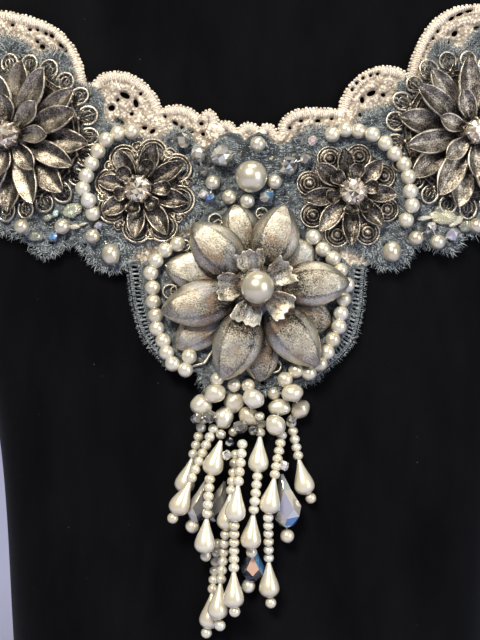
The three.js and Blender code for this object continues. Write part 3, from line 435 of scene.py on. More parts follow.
# Distance to a polyline and the length along it to the nearest point.
def lineDistance(line, u, v, closed=False):
    a = line if closed else line[:-1]
    b = np.roll(line, -1, axis=0) if closed else line[1:]
    d = b - a
    size = np.linalg.norm(d, axis=1)
    start = np.concatenate([[0], np.cumsum(size)[:-1]])
    shape = np.shape(u)
    p = np.stack([np.ravel(u), np.ravel(v)], -1)
    best = np.full(len(p), 1e9)
    along = np.zeros(len(p))
    for k in range(len(a)):
        if size[k] < 1e-9:
            continue
        t = np.clip(((p - a[k]) @ d[k]) / size[k] ** 2, 0, 1)
        gap = np.hypot(*(p - a[k] - t[:, None] * d[k]).T)
        nearer = gap < best
        best[nearer] = gap[nearer]
        along[nearer] = start[k] + t[nearer] * size[k]
    return best.reshape(shape), along.reshape(shape)


# Distance inside an outline, below 0 outside, and the length along it.
def outlineDistance(outline, u, v):
    gap, along = lineDistance(outline, u, v, closed=True)
    return np.where(isInside(outline, u, v), gap, -gap), along


# Smooth noise from -1 to 1 on a lattice of random values.
def noise2(u, v, scale, seed):
    cells, shift = 64, 1000
    table = np.random.default_rng(seed).uniform(-1, 1, (cells, cells))
    x, y = np.asarray(u) / scale + shift, np.asarray(v) / scale + shift
    i, j = np.floor(x).astype(int), np.floor(y).astype(int)
    a, b = x - i, y - j
    a, b = a * a * (3 - 2 * a), b * b * (3 - 2 * b)
    corner = lambda m, n: table[m % cells, n % cells]
    low = corner(i, j) * (1 - a) + corner(i + 1, j) * a
    high = corner(i, j + 1) * (1 - a) + corner(i + 1, j + 1) * a
    return low * (1 - b) + high * b


# Skin over the part of a sheet where the field is above 0. Its edge is drawn onto the field's zero line,
# and a wall goes down to the back all round and in each opening.
def fabricMesh(shape, sheet, field, area, step, back, top, values):
    left, right, bottom, high = area
    u, v = grid(np.arange(left, right + step, step), np.arange(bottom, high + step, step))
    f = field(u, v)
    keep = (f[:-1, :-1] + f[1:, :-1] + f[:-1, 1:] + f[1:, 1:]) > 0
    touch = np.zeros(f.shape, int)
    for i0 in (0, 1):
        for j0 in (0, 1):
            touch[i0 : i0 + keep.shape[0], j0 : j0 + keep.shape[1]] += keep
    used, edge = touch > 0, (touch > 0) & (touch < 4)
    onSide = np.zeros(f.shape, bool)
    onSide[[0, -1]] = onSide[:, [0, -1]] = True
    slopeU, slopeV = np.gradient(f, step)
    steep = slopeU**2 + slopeV**2 + 1e-3
    shiftU, shiftV = -f * slopeU / steep, -f * slopeV / steep
    far = np.hypot(shiftU, shiftV) / (0.8 * step) + 1e-9  # an edge point moves by less than a step
    shrink = np.where(far > 1, 1 / far, 1)
    u = np.where(edge & ~onSide, u + shiftU * shrink, u)
    v = np.where(edge & ~onSide, v + shiftV * shrink, v)
    depth = np.maximum(f, 0) * ~edge
    spots = u[used], v[used], depth[used]
    points = sheet.place(*spots[:2], top(*spots))
    low = sheet.place(u[edge], v[edge], np.full(edge.sum(), back))
    index = np.cumsum(used).reshape(f.shape) - 1
    wallLow = np.full(f.shape, -1)
    wallLow[edge] = np.arange(edge.sum()) + len(points)
    i, j = np.nonzero(keep)
    faces = np.stack([index[i, j], index[i + 1, j], index[i + 1, j + 1], index[i, j + 1]], -1).tolist()
    padded = np.pad(keep, 1)
    rowEnds, columnEnds = padded[1:, 1:-1] != padded[:-1, 1:-1], padded[1:-1, 1:] != padded[1:-1, :-1]
    for ends, di, dj in ((rowEnds, 0, 1), (columnEnds, 1, 0)):
        i, j = np.nonzero(ends)
        for a, b, inner in zip(zip(i, j), zip(i + di, j + dj), padded[i + 1, j + 1]):
            wall = [int(k) for k in (index[a], wallLow[a], wallLow[b], index[b])]
            faces.append(wall[::-1] if inner == dj else wall)
    named = {key: np.concatenate([value, np.zeros(edge.sum())]) for key, value in values(*spots).items()}
    shape.add(np.concatenate([points, low]), faces, **named)


# Principled material with short calls for the nodes that feed it.
class Look:
    def __init__(self, name, **sockets):
        self.material = bpy.data.materials.new(name)
        self.material.use_nodes = True
        self.tree = self.material.node_tree
        self.shader = self.tree.nodes["Principled BSDF"]
        self.feed(self.shader, **sockets)
        self.place = self.node("ShaderNodeTexCoord").outputs["Object"]

    def node(self, kind, **settings):
        made = self.tree.nodes.new(kind)
        for key, value in settings.items():
            setattr(made, key, value)
        return made

    # a socket takes a fixed value or another node's output
    def put(self, socket, source):
        if isinstance(source, bpy.types.NodeSocket):
            self.tree.links.new(source, socket)
        elif source is not None:
            socket.default_value = source

    def feed(self, node, **sources):
        for key, source in sources.items():
            self.put(node.inputs[key.replace("_", " ")], source)

    def noise(self, scale, detail=3, roughness=0.55, stretch=None, on=None):
        made = self.node("ShaderNodeTexNoise")
        vector = self.place if on is None else on
        if stretch:
            vector = self.stretched(stretch)
        self.feed(made, Vector=vector, Scale=scale, Detail=detail, Roughness=roughness)
        return made.outputs["Fac"]

    def stretched(self, stretch):
        made = self.node("ShaderNodeMapping")
        self.feed(made, Vector=self.place, Scale=stretch)
        return made.outputs["Vector"]

    def cells(self, scale):
        made = self.node("ShaderNodeTexVoronoi")
        self.feed(made, Vector=self.place, Scale=scale)
        return made.outputs["Distance"]

    def value(self, name):
        return self.node("ShaderNodeAttribute", attribute_name=name).outputs["Fac"]

    def joined(self, x, y):
        made = self.node("ShaderNodeCombineXYZ")
        self.feed(made, X=x, Y=y)
        return made.outputs["Vector"]

    def maths(self, operation, a, b=None, c=None, clamp=False):
        made = self.node("ShaderNodeMath", operation=operation, use_clamp=clamp)
        for socket, source in zip(made.inputs, (a, b, c)):
            self.put(socket, source)
        return made.outputs[0]

    def scaled(self, source, factor):
        return self.maths("MULTIPLY", source, factor)

    def added(self, a, b, clamp=False):
        return self.maths("ADD", a, b, clamp=clamp)

    def span(self, source, low, high, toLow=0.0, toHigh=1.0):
        made = self.node("ShaderNodeMapRange", clamp=True)
        self.feed(made, Value=source, From_Min=low, From_Max=high, To_Min=toLow, To_Max=toHigh)
        return made.outputs["Result"]

    def ramp(self, source, stops):
        made = self.node("ShaderNodeValToRGB")
        elements = made.color_ramp.elements
        while len(elements) < len(stops):
            elements.new(0.5)
        for element, (position, colour) in zip(elements, stops):
            element.position = position
            element.color = (*colour, 1)
        self.feed(made, Fac=source)
        return made.outputs["Color"]

    def mix(self, amount, a, b):
        made = self.node("ShaderNodeMix", data_type="RGBA")
        factor, first, second, result = 0, 6, 7, 2  # the sockets for colours
        for socket, source in ((factor, amount), (first, a), (second, b)):
            self.put(made.inputs[socket], (*source, 1) if isinstance(source, tuple) else source)
        return made.outputs[result]

    def bump(self, height, strength, depth):
        made = self.node("ShaderNodeBump")
        self.feed(made, Height=height, Strength=strength, Distance=depth)
        return made.outputs["Normal"]

    def give(self, **sources):
        self.feed(self.shader, **sources)
        return self.material


def velvetLook():
    look = Look(
        "velvet", Roughness=0.95, Specular_IOR_Level=0.06,
        Sheen_Weight=0.05, Sheen_Roughness=0.3, Sheen_Tint=(0.55, 0.6, 0.75, 1),
    )  # fmt: skip
    pile = look.noise(1800, 2, 0.6)
    brushed = look.noise(60, 3, 0.6, stretch=(1, 1, 0.35))
    spot = look.span(look.cells(330), 0.035, 0.06, 1.0, 0.0)
    rare = look.span(look.noise(140, 1), 0.62, 0.7)
    lint = look.maths("MULTIPLY", spot, rare)
    tone = look.ramp(brushed, [(0.3, (0.0016, 0.0016, 0.0021)), (0.75, (0.0045, 0.0045, 0.0055))])
    colour = look.mix(look.scaled(lint, 0.35), tone, (0.25, 0.25, 0.27))
    return look.give(Base_Color=colour, Normal=look.bump(pile, 0.5, 0.0003))


# Stitched thread: ridges across the stitch direction and small knots, coloured with painted shade in the
# pits and a painted highlight on the tops, plus each fibre's own tone.
def threadLook(name, light, middle, dark, pitch, specks=0.0, steps=(0.0, 0.35, 0.9), knots=0.0):
    look = Look(name, Roughness=0.8, Specular_IOR_Level=0.25, Sheen_Weight=0.3, Sheen_Roughness=0.5)
    along, across = look.value("along"), look.value("across")
    wander = look.scaled(look.noise(700, 2), 1.3)
    stitch = look.maths("SINE", look.maths("MULTIPLY_ADD", look.added(along, wander), 6.283 / pitch, 0))
    stitch = look.span(stitch, -1, 1)
    lumps = look.noise(1500, 3, 0.6)
    if knots:
        loops = look.span(look.cells(1050), 0.15, 0.75, knots, -knots)
        inside = look.span(across, 2.4, 2.9)
        lumps = look.added(lumps, look.maths("MULTIPLY", loops, inside))
    fibre = look.noise(1.6, 3, on=look.joined(look.scaled(along, 4.5), look.scaled(across, 0.9)))
    pit = look.value("pit")
    height = look.maths("MULTIPLY_ADD", stitch, 0.45, look.added(lumps, look.scaled(fibre, 0.6)))
    # brightness from the relief's height, less the painted shade: painted light on the thread
    shade = look.maths("SUBTRACT", look.span(height, 0.75, 1.6), pit, clamp=True)
    patch = look.noise(120, 2)
    colour = look.ramp(shade, list(zip(steps, (dark, middle, light))))
    colour = look.mix(look.span(patch, 0.35, 0.75, 0.0, 0.3), colour, middle)
    if specks:
        glint = look.span(look.noise(2300, 1), 0.64, 0.7, 0.0, specks)
        colour = look.mix(glint, colour, (0.80, 0.82, 0.82))
    return look.give(Base_Color=colour, Normal=look.bump(height, 0.9, 0.00035))


# Plated metal, bright where its value is near 1 and dark where it is near 0; the value holds real wear and
# painted shade.
def silverLook(name, bright, middle, dark, roughness, stain=0.0, patch=0.16):
    look = Look(name, Metallic=1.0)
    speckle, grit = 2500, 0.36
    wear = look.value("wear")
    along, across = look.value("along"), look.value("across")
    streak = look.noise(1.3, 4, on=look.joined(look.scaled(along, 0.5), look.scaled(across, 2.2)))
    grain = look.noise(speckle, 3, 0.75)
    cloud = look.noise(speckle / 7, 3)
    rubAndShade = look.added(wear, look.span(streak, 0.25, 0.75, -0.2, 0.2))
    rubAndShade = look.added(rubAndShade, look.span(grain, 0.35, 0.65, -grit, grit))
    rubAndShade = look.added(rubAndShade, look.span(cloud, 0.3, 0.7, -patch, patch), clamp=True)
    colour = look.ramp(rubAndShade, [(0.05, dark), (0.5, middle), (0.95, bright)])
    if stain:
        brown = look.span(look.noise(190, 2), 0.5, 0.66, 0.0, stain)
        wornAndShaded = look.span(wear, 0.3, 0.9, 1.4, 0.5)
        colour = look.mix(look.maths("MULTIPLY", brown, wornAndShaded, clamp=True), colour, (0.30, 0.20, 0.135))
        lilac = look.span(look.noise(150, 2, stretch=(1.3, 1.3, 0.9)), 0.54, 0.68, 0.0, stain * 0.8)
        colour = look.mix(lilac, colour, (0.38, 0.41, 0.45))
    rough = look.span(rubAndShade, 0, 1, roughness[1], roughness[0])
    height = look.added(grain, look.scaled(streak, 0.5))
    return look.give(Base_Color=colour, Roughness=rough, Normal=look.bump(height, 0.7, 0.00016))


nacreStops = [(0.2, (0.60, 0.53, 0.385)), (0.5, (0.67, 0.625, 0.49)), (0.8, (0.70, 0.68, 0.59))]


def pearlLook(name, metallic, light=1.0):
    look = Look(
        name, Roughness=0.3, Metallic=metallic, Coat_Weight=0.9, Coat_Roughness=0.05,
        Specular_IOR_Level=0.55, Subsurface_Weight=0.2, Subsurface_Scale=0.002,
        Subsurface_Radius=(1.0, 0.8, 0.55),
    )  # fmt: skip
    cloud = look.noise(90, 2)
    skin = look.noise(420, 2)
    tint = look.value("tint")
    stops = [(at, tuple(light * part for part in shade)) for at, shade in nacreStops]
    tone = look.ramp(look.added(look.scaled(cloud, 0.6), tint), stops)
    return look.give(Base_Color=tone, Normal=look.bump(skin, 0.15, 0.0002))


# Cut glass with a half-mirrored coat; each facet's colour is painted: partly the coat's own colours, partly
# painted reflections and glints.
def crystalLook(name, stops, roughness=0.04, coat=1.0):
    look = Look(name, Roughness=roughness, IOR=1.55, Coat_Weight=coat, Coat_Roughness=0.03)
    facet = look.value("facet")
    metal = look.span(facet, 0, 1, 0.65, 0.4)
    return look.give(Base_Color=look.ramp(facet, stops), Metallic=metal)


velvet = velvetLook()
ivoryThread = threadLook(
    "ivory_thread", (0.95, 0.88, 0.76), (0.86, 0.755, 0.615), (0.36, 0.28, 0.20), 0.62, knots=0.5
)
blueThread = threadLook(
    "blue_thread", (0.525, 0.566, 0.551), (0.158, 0.187, 0.199), (0.021, 0.0273, 0.0342), 0.55,
    specks=0.6, steps=(0.05, 0.42, 0.85),
)  # fmt: skip
champagneSilver = silverLook(
    "champagne_silver", (0.66, 0.615, 0.50), (0.36, 0.325, 0.255), (0.03, 0.025, 0.02), (0.36, 0.5),
    stain=0.5,
)  # fmt: skip
darkSilver = silverLook(
    "dark_silver", (0.70, 0.62, 0.49), (0.20, 0.172, 0.14), (0.02, 0.017, 0.015), (0.32, 0.46),
    patch=0.26,
)  # fmt: skip
pearlNacre = pearlLook("pearl", 0.6)
stringNacre = pearlLook("string_pearl", 0.48, 1.06)
clusterNacre = pearlLook("cluster_pearl", 0.45, 1.1)
dropNacre = pearlLook("drop_pearl", 0.38, 1.12)
crystalStops = [
    (0.0, (0.012, 0.02, 0.06)), (0.12, (0.06, 0.068, 0.09)), (0.24, (0.26, 0.25, 0.225)),
    (0.36, (0.66, 0.63, 0.56)), (0.48, (0.12, 0.20, 0.48)), (0.54, (0.08, 0.42, 0.60)),
    (0.6, (0.80, 0.73, 0.60)), (0.72, (0.38, 0.40, 0.62)), (0.86, (0.90, 0.56, 0.40)),
    (1.0, (0.93, 0.93, 0.93)),
]  # fmt: skip
rhinestoneStops = [
    (0.0, (0.07, 0.06, 0.05)), (0.2, (0.24, 0.20, 0.16)), (0.4, (0.56, 0.48, 0.37)),
    (0.6, (0.74, 0.68, 0.56)), (0.72, (0.45, 0.31, 0.22)), (0.85, (0.66, 0.58, 0.46)),
    (1.0, (0.90, 0.86, 0.76)),
]  # fmt: skip
crystal = crystalLook("crystal", crystalStops)
rhinestone = crystalLook("rhinestone", rhinestoneStops, roughness=0.1, coat=0.5)


def shellLook():
    look = Look("shell", Roughness=0.25, Coat_Weight=0.6, Coat_Roughness=0.06, Metallic=0.2)
    along = look.value("along")
    growth = look.maths("SINE", look.scaled(look.added(along, look.noise(500, 2)), 7.0))
    tone = look.added(look.value("facet"), look.span(look.noise(260, 2), 0.3, 0.7, -0.1, 0.1))
    stops = [
        (0, (0.20, 0.20, 0.16)), (0.25, (0.42, 0.47, 0.37)), (0.5, (0.55, 0.52, 0.35)),
        (0.75, (0.78, 0.71, 0.55)), (1, (0.66, 0.86, 0.82)),
    ]  # fmt: skip
    shade = look.span(growth, -1, 1, 0.0, 0.35)
    colour = look.mix(shade, look.ramp(tone, stops), (0.16, 0.15, 0.12))
    return look.give(Base_Color=colour, Normal=look.bump(growth, 0.5, 0.0002))


shell = shellLook()
print("materials ready")


bust = {
    "sides": 128,
    "rows": 110,
    "foot": [(0, 0.985), (0.5, 0.994), (1.5, 1)],  # z and share of the full width
    "edge": [4, 2.4, 1.2, 0.4, 0],  # depths under the top
    "topShare": 0.93,
    "topRound": 4,
}


def makeBust():
    footZ, footShare = np.array(bust["foot"]).T
    rows = np.linspace(3, bustHeight - 6, bust["rows"])
    z = np.concatenate([footZ, rows, bustHeight - np.array(bust["edge"])])
    share = np.interp(z, footZ, footShare)
    down = clamped((z - (bustHeight - bust["topRound"])) / bust["topRound"])
    share = share - (1 - bust["topShare"]) * (1 - np.sqrt(1 - down**2))
    turn = (np.arange(bust["sides"]) + 0.5) * 2 * np.pi / bust["sides"]
    ring = sectionPoint(z[:, None] + 0 * turn, turn[None] + 0 * z[:, None])
    widest = sectionAt(z)[2]
    ring[..., 0] *= share[:, None]
    ring[..., 1] = widest[:, None] + share[:, None] * (ring[..., 1] - widest[:, None])
    faces = gridFaces(len(z), bust["sides"], closed=True)
    n = len(z) * bust["sides"]
    faces.append(list(range(bust["sides"]))[::-1])
    faces.append(list(range(n - bust["sides"], n)))
    makePiece("velvet_bust", Shape().add(ring, faces), velvet, ["neck_bust"])


makeBust()
print("bust ready")


ivoryStart = (-72, 87.8)
ivoryRows = [
    (-47, 67.6, -58, 87.5, -49, 82), (-45, 67.7), (-25.3, 60.3, -43, 73, -29.5, 73),
    (-14.3, 58, -23, 62, -17, 62), (-9, 56, -14, 61, -9, 61), (-3.5, 54.5, -8, 57.4, -5, 57.4),
    (2.8, 54.8, -2, 57, 1, 57), (8, 53.2, 4, 57, 7, 56.5), (25.3, 60.3, 8.5, 62.5, 19, 60.5),
    (45, 70, 29, 74.5, 42.5, 74.5), (72, 88, 49, 87, 58, 93.5),
]  # fmt: skip
ivoryFoot = [
    (72, 29), (38, 17.5, 60, 27, 48, 23), (0, 12, 30, 13, 18, 12), (-38, 17.5, -18, 12, -30, 13),
    (-72, 29, -48, 23, -60, 27),
]  # fmt: skip
ivoryEdge = bezierOutline(ivoryStart, ivoryRows, 14)
ivoryOutline = bezierOutline(ivoryStart, ivoryRows + ivoryFoot, 14)

# u, v, length, width, slant in degrees
ivoryOpenings = [
    (-36, 64.3, 2.9, 1.3, -28), (-32.8, 62, 2.2, 1.2, -75), (-39.8, 60.7, 1.7, 1.5, 0),
    (-38, 63, 0.9, 0.7, 50), (-37.6, 56.8, 3.2, 1.0, -28), (-34, 59, 0.9, 0.8, 0), (-30.3, 55, 1.4, 0.8, 0),
    (-28, 54, 1.6, 0.9, 35), (-31.4, 64.7, 0.8, 0.7, 0), (-63, 83, 0.9, 0.6, -20), (-61, 83, 0.8, 0.6, -20),
    (-58.7, 82, 1.1, 0.7, -25), (-57, 81.3, 1.4, 0.8, -30), (-54.6, 78.7, 0.9, 0.6, -60),
    (-53.9, 78, 0.9, 0.6, -60), (-53.1, 77.1, 1.0, 0.7, -60), (-61, 79.6, 1.0, 0.6, -35),
    (-59.7, 78.1, 1.6, 1.1, -35), (-58.3, 76.3, 1.6, 1.0, -35), (-67.4, 84, 0.9, 0.6, 0),
    (-21.5, 56.3, 1.7, 0.8, -35), (-19.5, 55, 1.3, 0.7, -20), (-17, 54, 1.5, 0.7, -20),
    (-14, 56.2, 1.2, 0.8, -10), (-13.5, 53.2, 1.1, 0.8, -20), (-24.4, 58.2, 0.8, 0.5, -40),
    (34.8, 64.9, 2.6, 1.2, 25), (38.2, 64.4, 1.1, 0.9, 0), (32.2, 63, 1.1, 1.7, 0),
    (31.8, 58.8, 1.5, 0.9, 30), (29.3, 66, 0.8, 0.6, 50), (30.6, 67.8, 0.8, 0.6, 45),
    (32.4, 69.2, 0.8, 0.6, 30), (34.6, 70, 0.8, 0.5, 15), (36.6, 70.4, 0.8, 0.5, 0),
    (57.9, 86.3, 1.9, 0.6, 30), (60.2, 87.5, 1.9, 0.6, 24), (62.6, 88.3, 1.8, 0.6, 12),
    (58.8, 82, 1.9, 1.2, 40), (57, 79.6, 1.1, 0.8, 45), (64.8, 83.3, 1.8, 1.0, 5),
    (52.6, 80.6, 0.8, 0.6, 60), (53.9, 82.6, 0.8, 0.6, 50), (66.5, 88.6, 1.2, 0.6, 0),
    (19.5, 57, 1.5, 0.7, 0), (14.6, 57, 1.0, 0.6, 10), (23.4, 57.6, 0.9, 0.6, -10), (11.4, 55, 0.8, 0.7, 0),
]  # fmt: skip


# Above 0 outside every opening, in mm.
def openingField(u, v, openings, grow):
    field = np.full(np.shape(u), 9.0)
    for cu, cv, long, wide, slant in openings:
        x, y = turned(u - cu, v - cv, -slant)
        a, b = long / 2 + grow, wide / 2 + grow
        field = np.minimum(field, (np.hypot(x / a, y / b) - 1) * min(a, b))
    return field


def openArea(outline, openings, grow, u, v):
    return np.minimum(outlineDistance(outline, u, v)[0], openingField(u, v, openings, grow))


ivory = {
    "step": 0.37,
    "openingGrow": 0.12,
    "ropes": [(1.3, 1.3, 0.7), (4.3, 1.15, 0.5), (7.2, 1.2, 0.3)],  # inset, half width, height
    # an eyelet's darkness is painted shade in its dent
    "eyelets": [(2.85, 1.4, 0.6, 1.1), (5.75, 1.7, 0.5, 0.9)],  # inset, pitch, depth, darkness
    "picotPitch": 1.05,
}


def makeIvory():
    shape = Shape()

    def field(u, v):
        return openArea(ivoryOutline, ivoryOpenings, ivory["openingGrow"], u, v)

    def band(gap, middle, half, height):
        return height * np.sqrt(clamped(1 - ((gap - middle) / half) ** 2))

    def eyelets(gap, along, row, pitch):
        return bell(gap, row, 0.34) * clamped(1.5 * np.cos(2 * np.pi * along / pitch) - 0.1)

    def top(u, v, depth):
        gap, along = lineDistance(ivoryEdge, u, v)
        shell = np.sqrt(clamped(depth / 0.7))
        first, second, third = (band(gap, *rope) for rope in ivory["ropes"])
        knots = (0.26 * noise2(u, v, 0.8, 4) + 0.2 * noise2(u, v, 1.7, 3)) * clamped((gap - 2.4) / 0.6)
        near, far = (deep * eyelets(gap, along, row, pitch) for row, pitch, deep, _ in ivory["eyelets"])
        return laceBack + 0.3 + 0.7 * shell + (first + second + third + knots - (near + far)) * shell

    def values(u, v, depth):
        gap, along = lineDistance(ivoryEdge, u, v)
        # painted shade at the lace's edges, in the hollows between the knots and in the eyelets' dents
        pit = 0.5 * bell(depth, 0, 0.35) + 0.4 * clamped(-noise2(u, v, 0.8, 4)) * (gap > 2.6)
        near, far = (dark * eyelets(gap, along, row, pitch) for row, pitch, _, dark in ivory["eyelets"])
        wander = (1.5 * noise2(u, v, 1.5, 5) + 0.6 * noise2(u, v, 0.7, 6)) * clamped((gap - 2.6) / 0.5)
        return {"along": along + wander, "across": gap, "pit": clamped(pit + near + far)}

    fabricMesh(shape, ivorySheet, field, (-72, 72, 11, 93), ivory["step"], laceBack, top, values)

    # picots all along the upper edge
    for u, v in evenly(ivoryEdge, ivory["picotPitch"]):
        size = rng.uniform(0.38, 0.6)
        foot = ivorySheet.place(u + rng.uniform(-0.15, 0.15), v - rng.uniform(0, 0.2), laceBack + 0.75)
        knot = lathe(foot, sheetOut, (1, 0, 0), ballProfile(0.5, size, 5), 6)
        shape.add(*knot, along=rng.random(), across=0.4, pit=0.0)
    return makePiece("ivory_guipure", shape, ivoryThread, ["ivory_lace"])


makeIvory()
print("ivory lace ready")

blueLeft = bezierOutline((-72, 79), [
    (-67.3, 80.2, -70.5, 79.8, -69.3, 80.3), (-61, 73.8, -64.2, 80, -62.4, 77),
    (-55.2, 76.8, -60, 75.6, -57.5, 76.9), (-51, 67.4, -51.6, 76.8, -51, 71.5),
    (-42.2, 62, -47.5, 66.6, -42.8, 67), (-42.6, 57.2, -42.2, 60.5, -43.4, 59), (-37, 55.4),
    (-31.5, 51.2, -35, 53.4, -33.5, 51.2), (-24.5, 51.4), (-20.4, 54.2, -24, 53.4, -22.5, 54.3),
    (-16.6, 50.6, -18, 54.2, -17, 52.5), (-13.4, 44, -15.8, 48, -13.8, 47.4),
    (-14.2, 31, -13.5, 42, -14, 38), (-33, 20.5, -19, 24.5, -28, 23.5), (-36, 15),
    (-46, 18, -39, 13.5, -43.5, 14), (-55, 20, -49, 22.5, -52, 22.5), (-61.5, 21, -57, 17.6, -60.5, 17.6),
    (-72, 27.5, -63, 25, -67.5, 24.5),
])  # fmt: skip
blueRight = bezierOutline((72, 82), [
    (65.5, 82.4, 70, 83, 67.5, 83.2), (60, 76.5, 63, 81.6, 62, 77), (54, 79, 58.2, 78, 56.2, 79.2),
    (51, 69, 50.8, 78.4, 51.4, 73), (46, 69, 50.4, 67.6, 47.5, 68.4), (41.8, 63.6, 43.2, 69.4, 42, 67),
    (33, 58.8, 40.5, 60, 36, 61), (27.5, 54.2, 31, 57, 29.5, 54.6), (22.5, 53.8),
    (18.4, 54.8, 21, 54.8, 20, 54.9), (15.4, 53.8, 17.4, 54.6, 16.8, 54.4), (16.4, 31, 15.4, 46, 16, 38),
    (31, 20, 20, 24.5, 27, 22), (37, 15), (45.5, 18.5, 40, 14.6, 43.5, 15.4),
    (53.5, 20.5, 47, 22.6, 51, 22.2), (60, 24, 56, 19, 59.5, 19), (72, 27, 63, 26, 67.5, 24),
])  # fmt: skip
# u, v and reach of the fluffy tufts
tuftsLeft = [(-67.3, 76, 4), (-55.6, 72.6, 4), (-46.4, 63, 3.8), (-45.4, 58.6, 3.4), (-52.4, 68.6, 2.6)]
tuftsRight = [(54, 75.2, 3.8), (66, 78.4, 4), (45.4, 65.4, 3.2), (39.5, 57.6, 3), (51.6, 71, 2.4)]

# places where the yarn lies open and the ivory lace or the velvet shows through
blueOpenings = [
    (-27, 19.5, 9, 4.5, 15), (-20.5, 33, 1.6, 0.9, 20), (-17, 28.5, 1.5, 0.8, -30),
    (-47.5, 21.2, 1.5, 0.8, 10), (-57, 22, 1.4, 0.7, 0), (-41, 22.5, 1.3, 0.8, 40),
    (-46.3, 62, 1.3, 0.8, 70), (-49.6, 59.2, 1.5, 0.9, 20), (29, 18, 6, 4, -15), (17, 42.5, 1.4, 0.8, 80),
    (20, 27.5, 1.6, 0.8, 30), (39, 21.5, 1.4, 0.9, 0), (48, 19.8, 1.4, 0.7, -20), (57, 22.8, 1.3, 0.7, 20),
    (43.6, 63.5, 1.3, 0.9, 60), (38.6, 58.4, 1.4, 0.8, 0), (-15.8, 46, 1.3, 0.8, 80),
    (-44.6, 57.6, 1.2, 0.7, 0),
]  # fmt: skip


# Fine fibres: flat ribbons of three short steps that leave their foot and bend over.
def hairs(shape, spots, reach, width, lift, tone=0.5, pale=0.45):
    steps = np.linspace(0, 1, 4)
    faces = [[2 * k, 2 * k + 1, 2 * k + 3, 2 * k + 2] for k in range(3)]
    for u, v, w, turn in spots:
        long = reach * (0.55 + 0.9 * rng.random())
        bend = rng.uniform(-0.9, 0.9)
        high = lift * (0.3 + rng.random())
        turns = turn + bend * steps
        us = u + np.cumsum(np.cos(turns)) * long / 4
        vs = v + np.cumsum(np.sin(turns)) * long / 4
        ws = w + high * np.sin(steps * np.pi / 2)
        side = np.stack([-np.sin(turns), np.cos(turns)], -1) * (width / 2 * (1.1 - steps))[:, None]
        left = yarnSheet.place(us + side[:, 0], vs + side[:, 1], ws)
        right = yarnSheet.place(us - side[:, 0], vs - side[:, 1], ws)
        shade = -1.1 * rng.random() ** 2 * tone if rng.random() < pale else 0.5 * rng.random() * tone
        shape.add(np.stack([left, right], 1), faces, along=rng.random() * 9, across=0.0, pit=shade)


# Random places of a rectangle that pass a test, drawn one by one.
def scattered(count, area, wanted):
    while count:
        u, v = rng.uniform(*area[:2]), rng.uniform(*area[2:])
        if wanted(u, v):
            count -= 1
            yield u, v


# Raised yarn: ropes along a guide, one each pitch, over bumps of two sizes.
def ropes(guide, pitch):
    return np.abs(np.sin(np.pi * guide / pitch))


def yarnTop(u, v, depth, bulk, ropeHeight, guide, pitch, bumps):
    rounded = np.sqrt(clamped(depth / 0.8))
    raised = ropeHeight * ropes(guide, pitch)
    (low, scale, seed), (fine, fineScale, fineSeed) = bumps
    lumps = low * noise2(u, v, scale, seed) + fine * noise2(u, v, fineScale, fineSeed)
    return overlayBack + 0.4 + (bulk + raised + lumps) * rounded


blue = {
    "step": 0.5,
    "pitch": 2.4,  # of the yarn's ropes
    "bumps": [(0.35, 1.3, 16), (0.2, 0.7, 17)],  # height, scale, seed
    "rimHairs": 5,  # at each half millimetre of the outline
    "topHairs": 3400,
    "tuftHairs": 300,
}


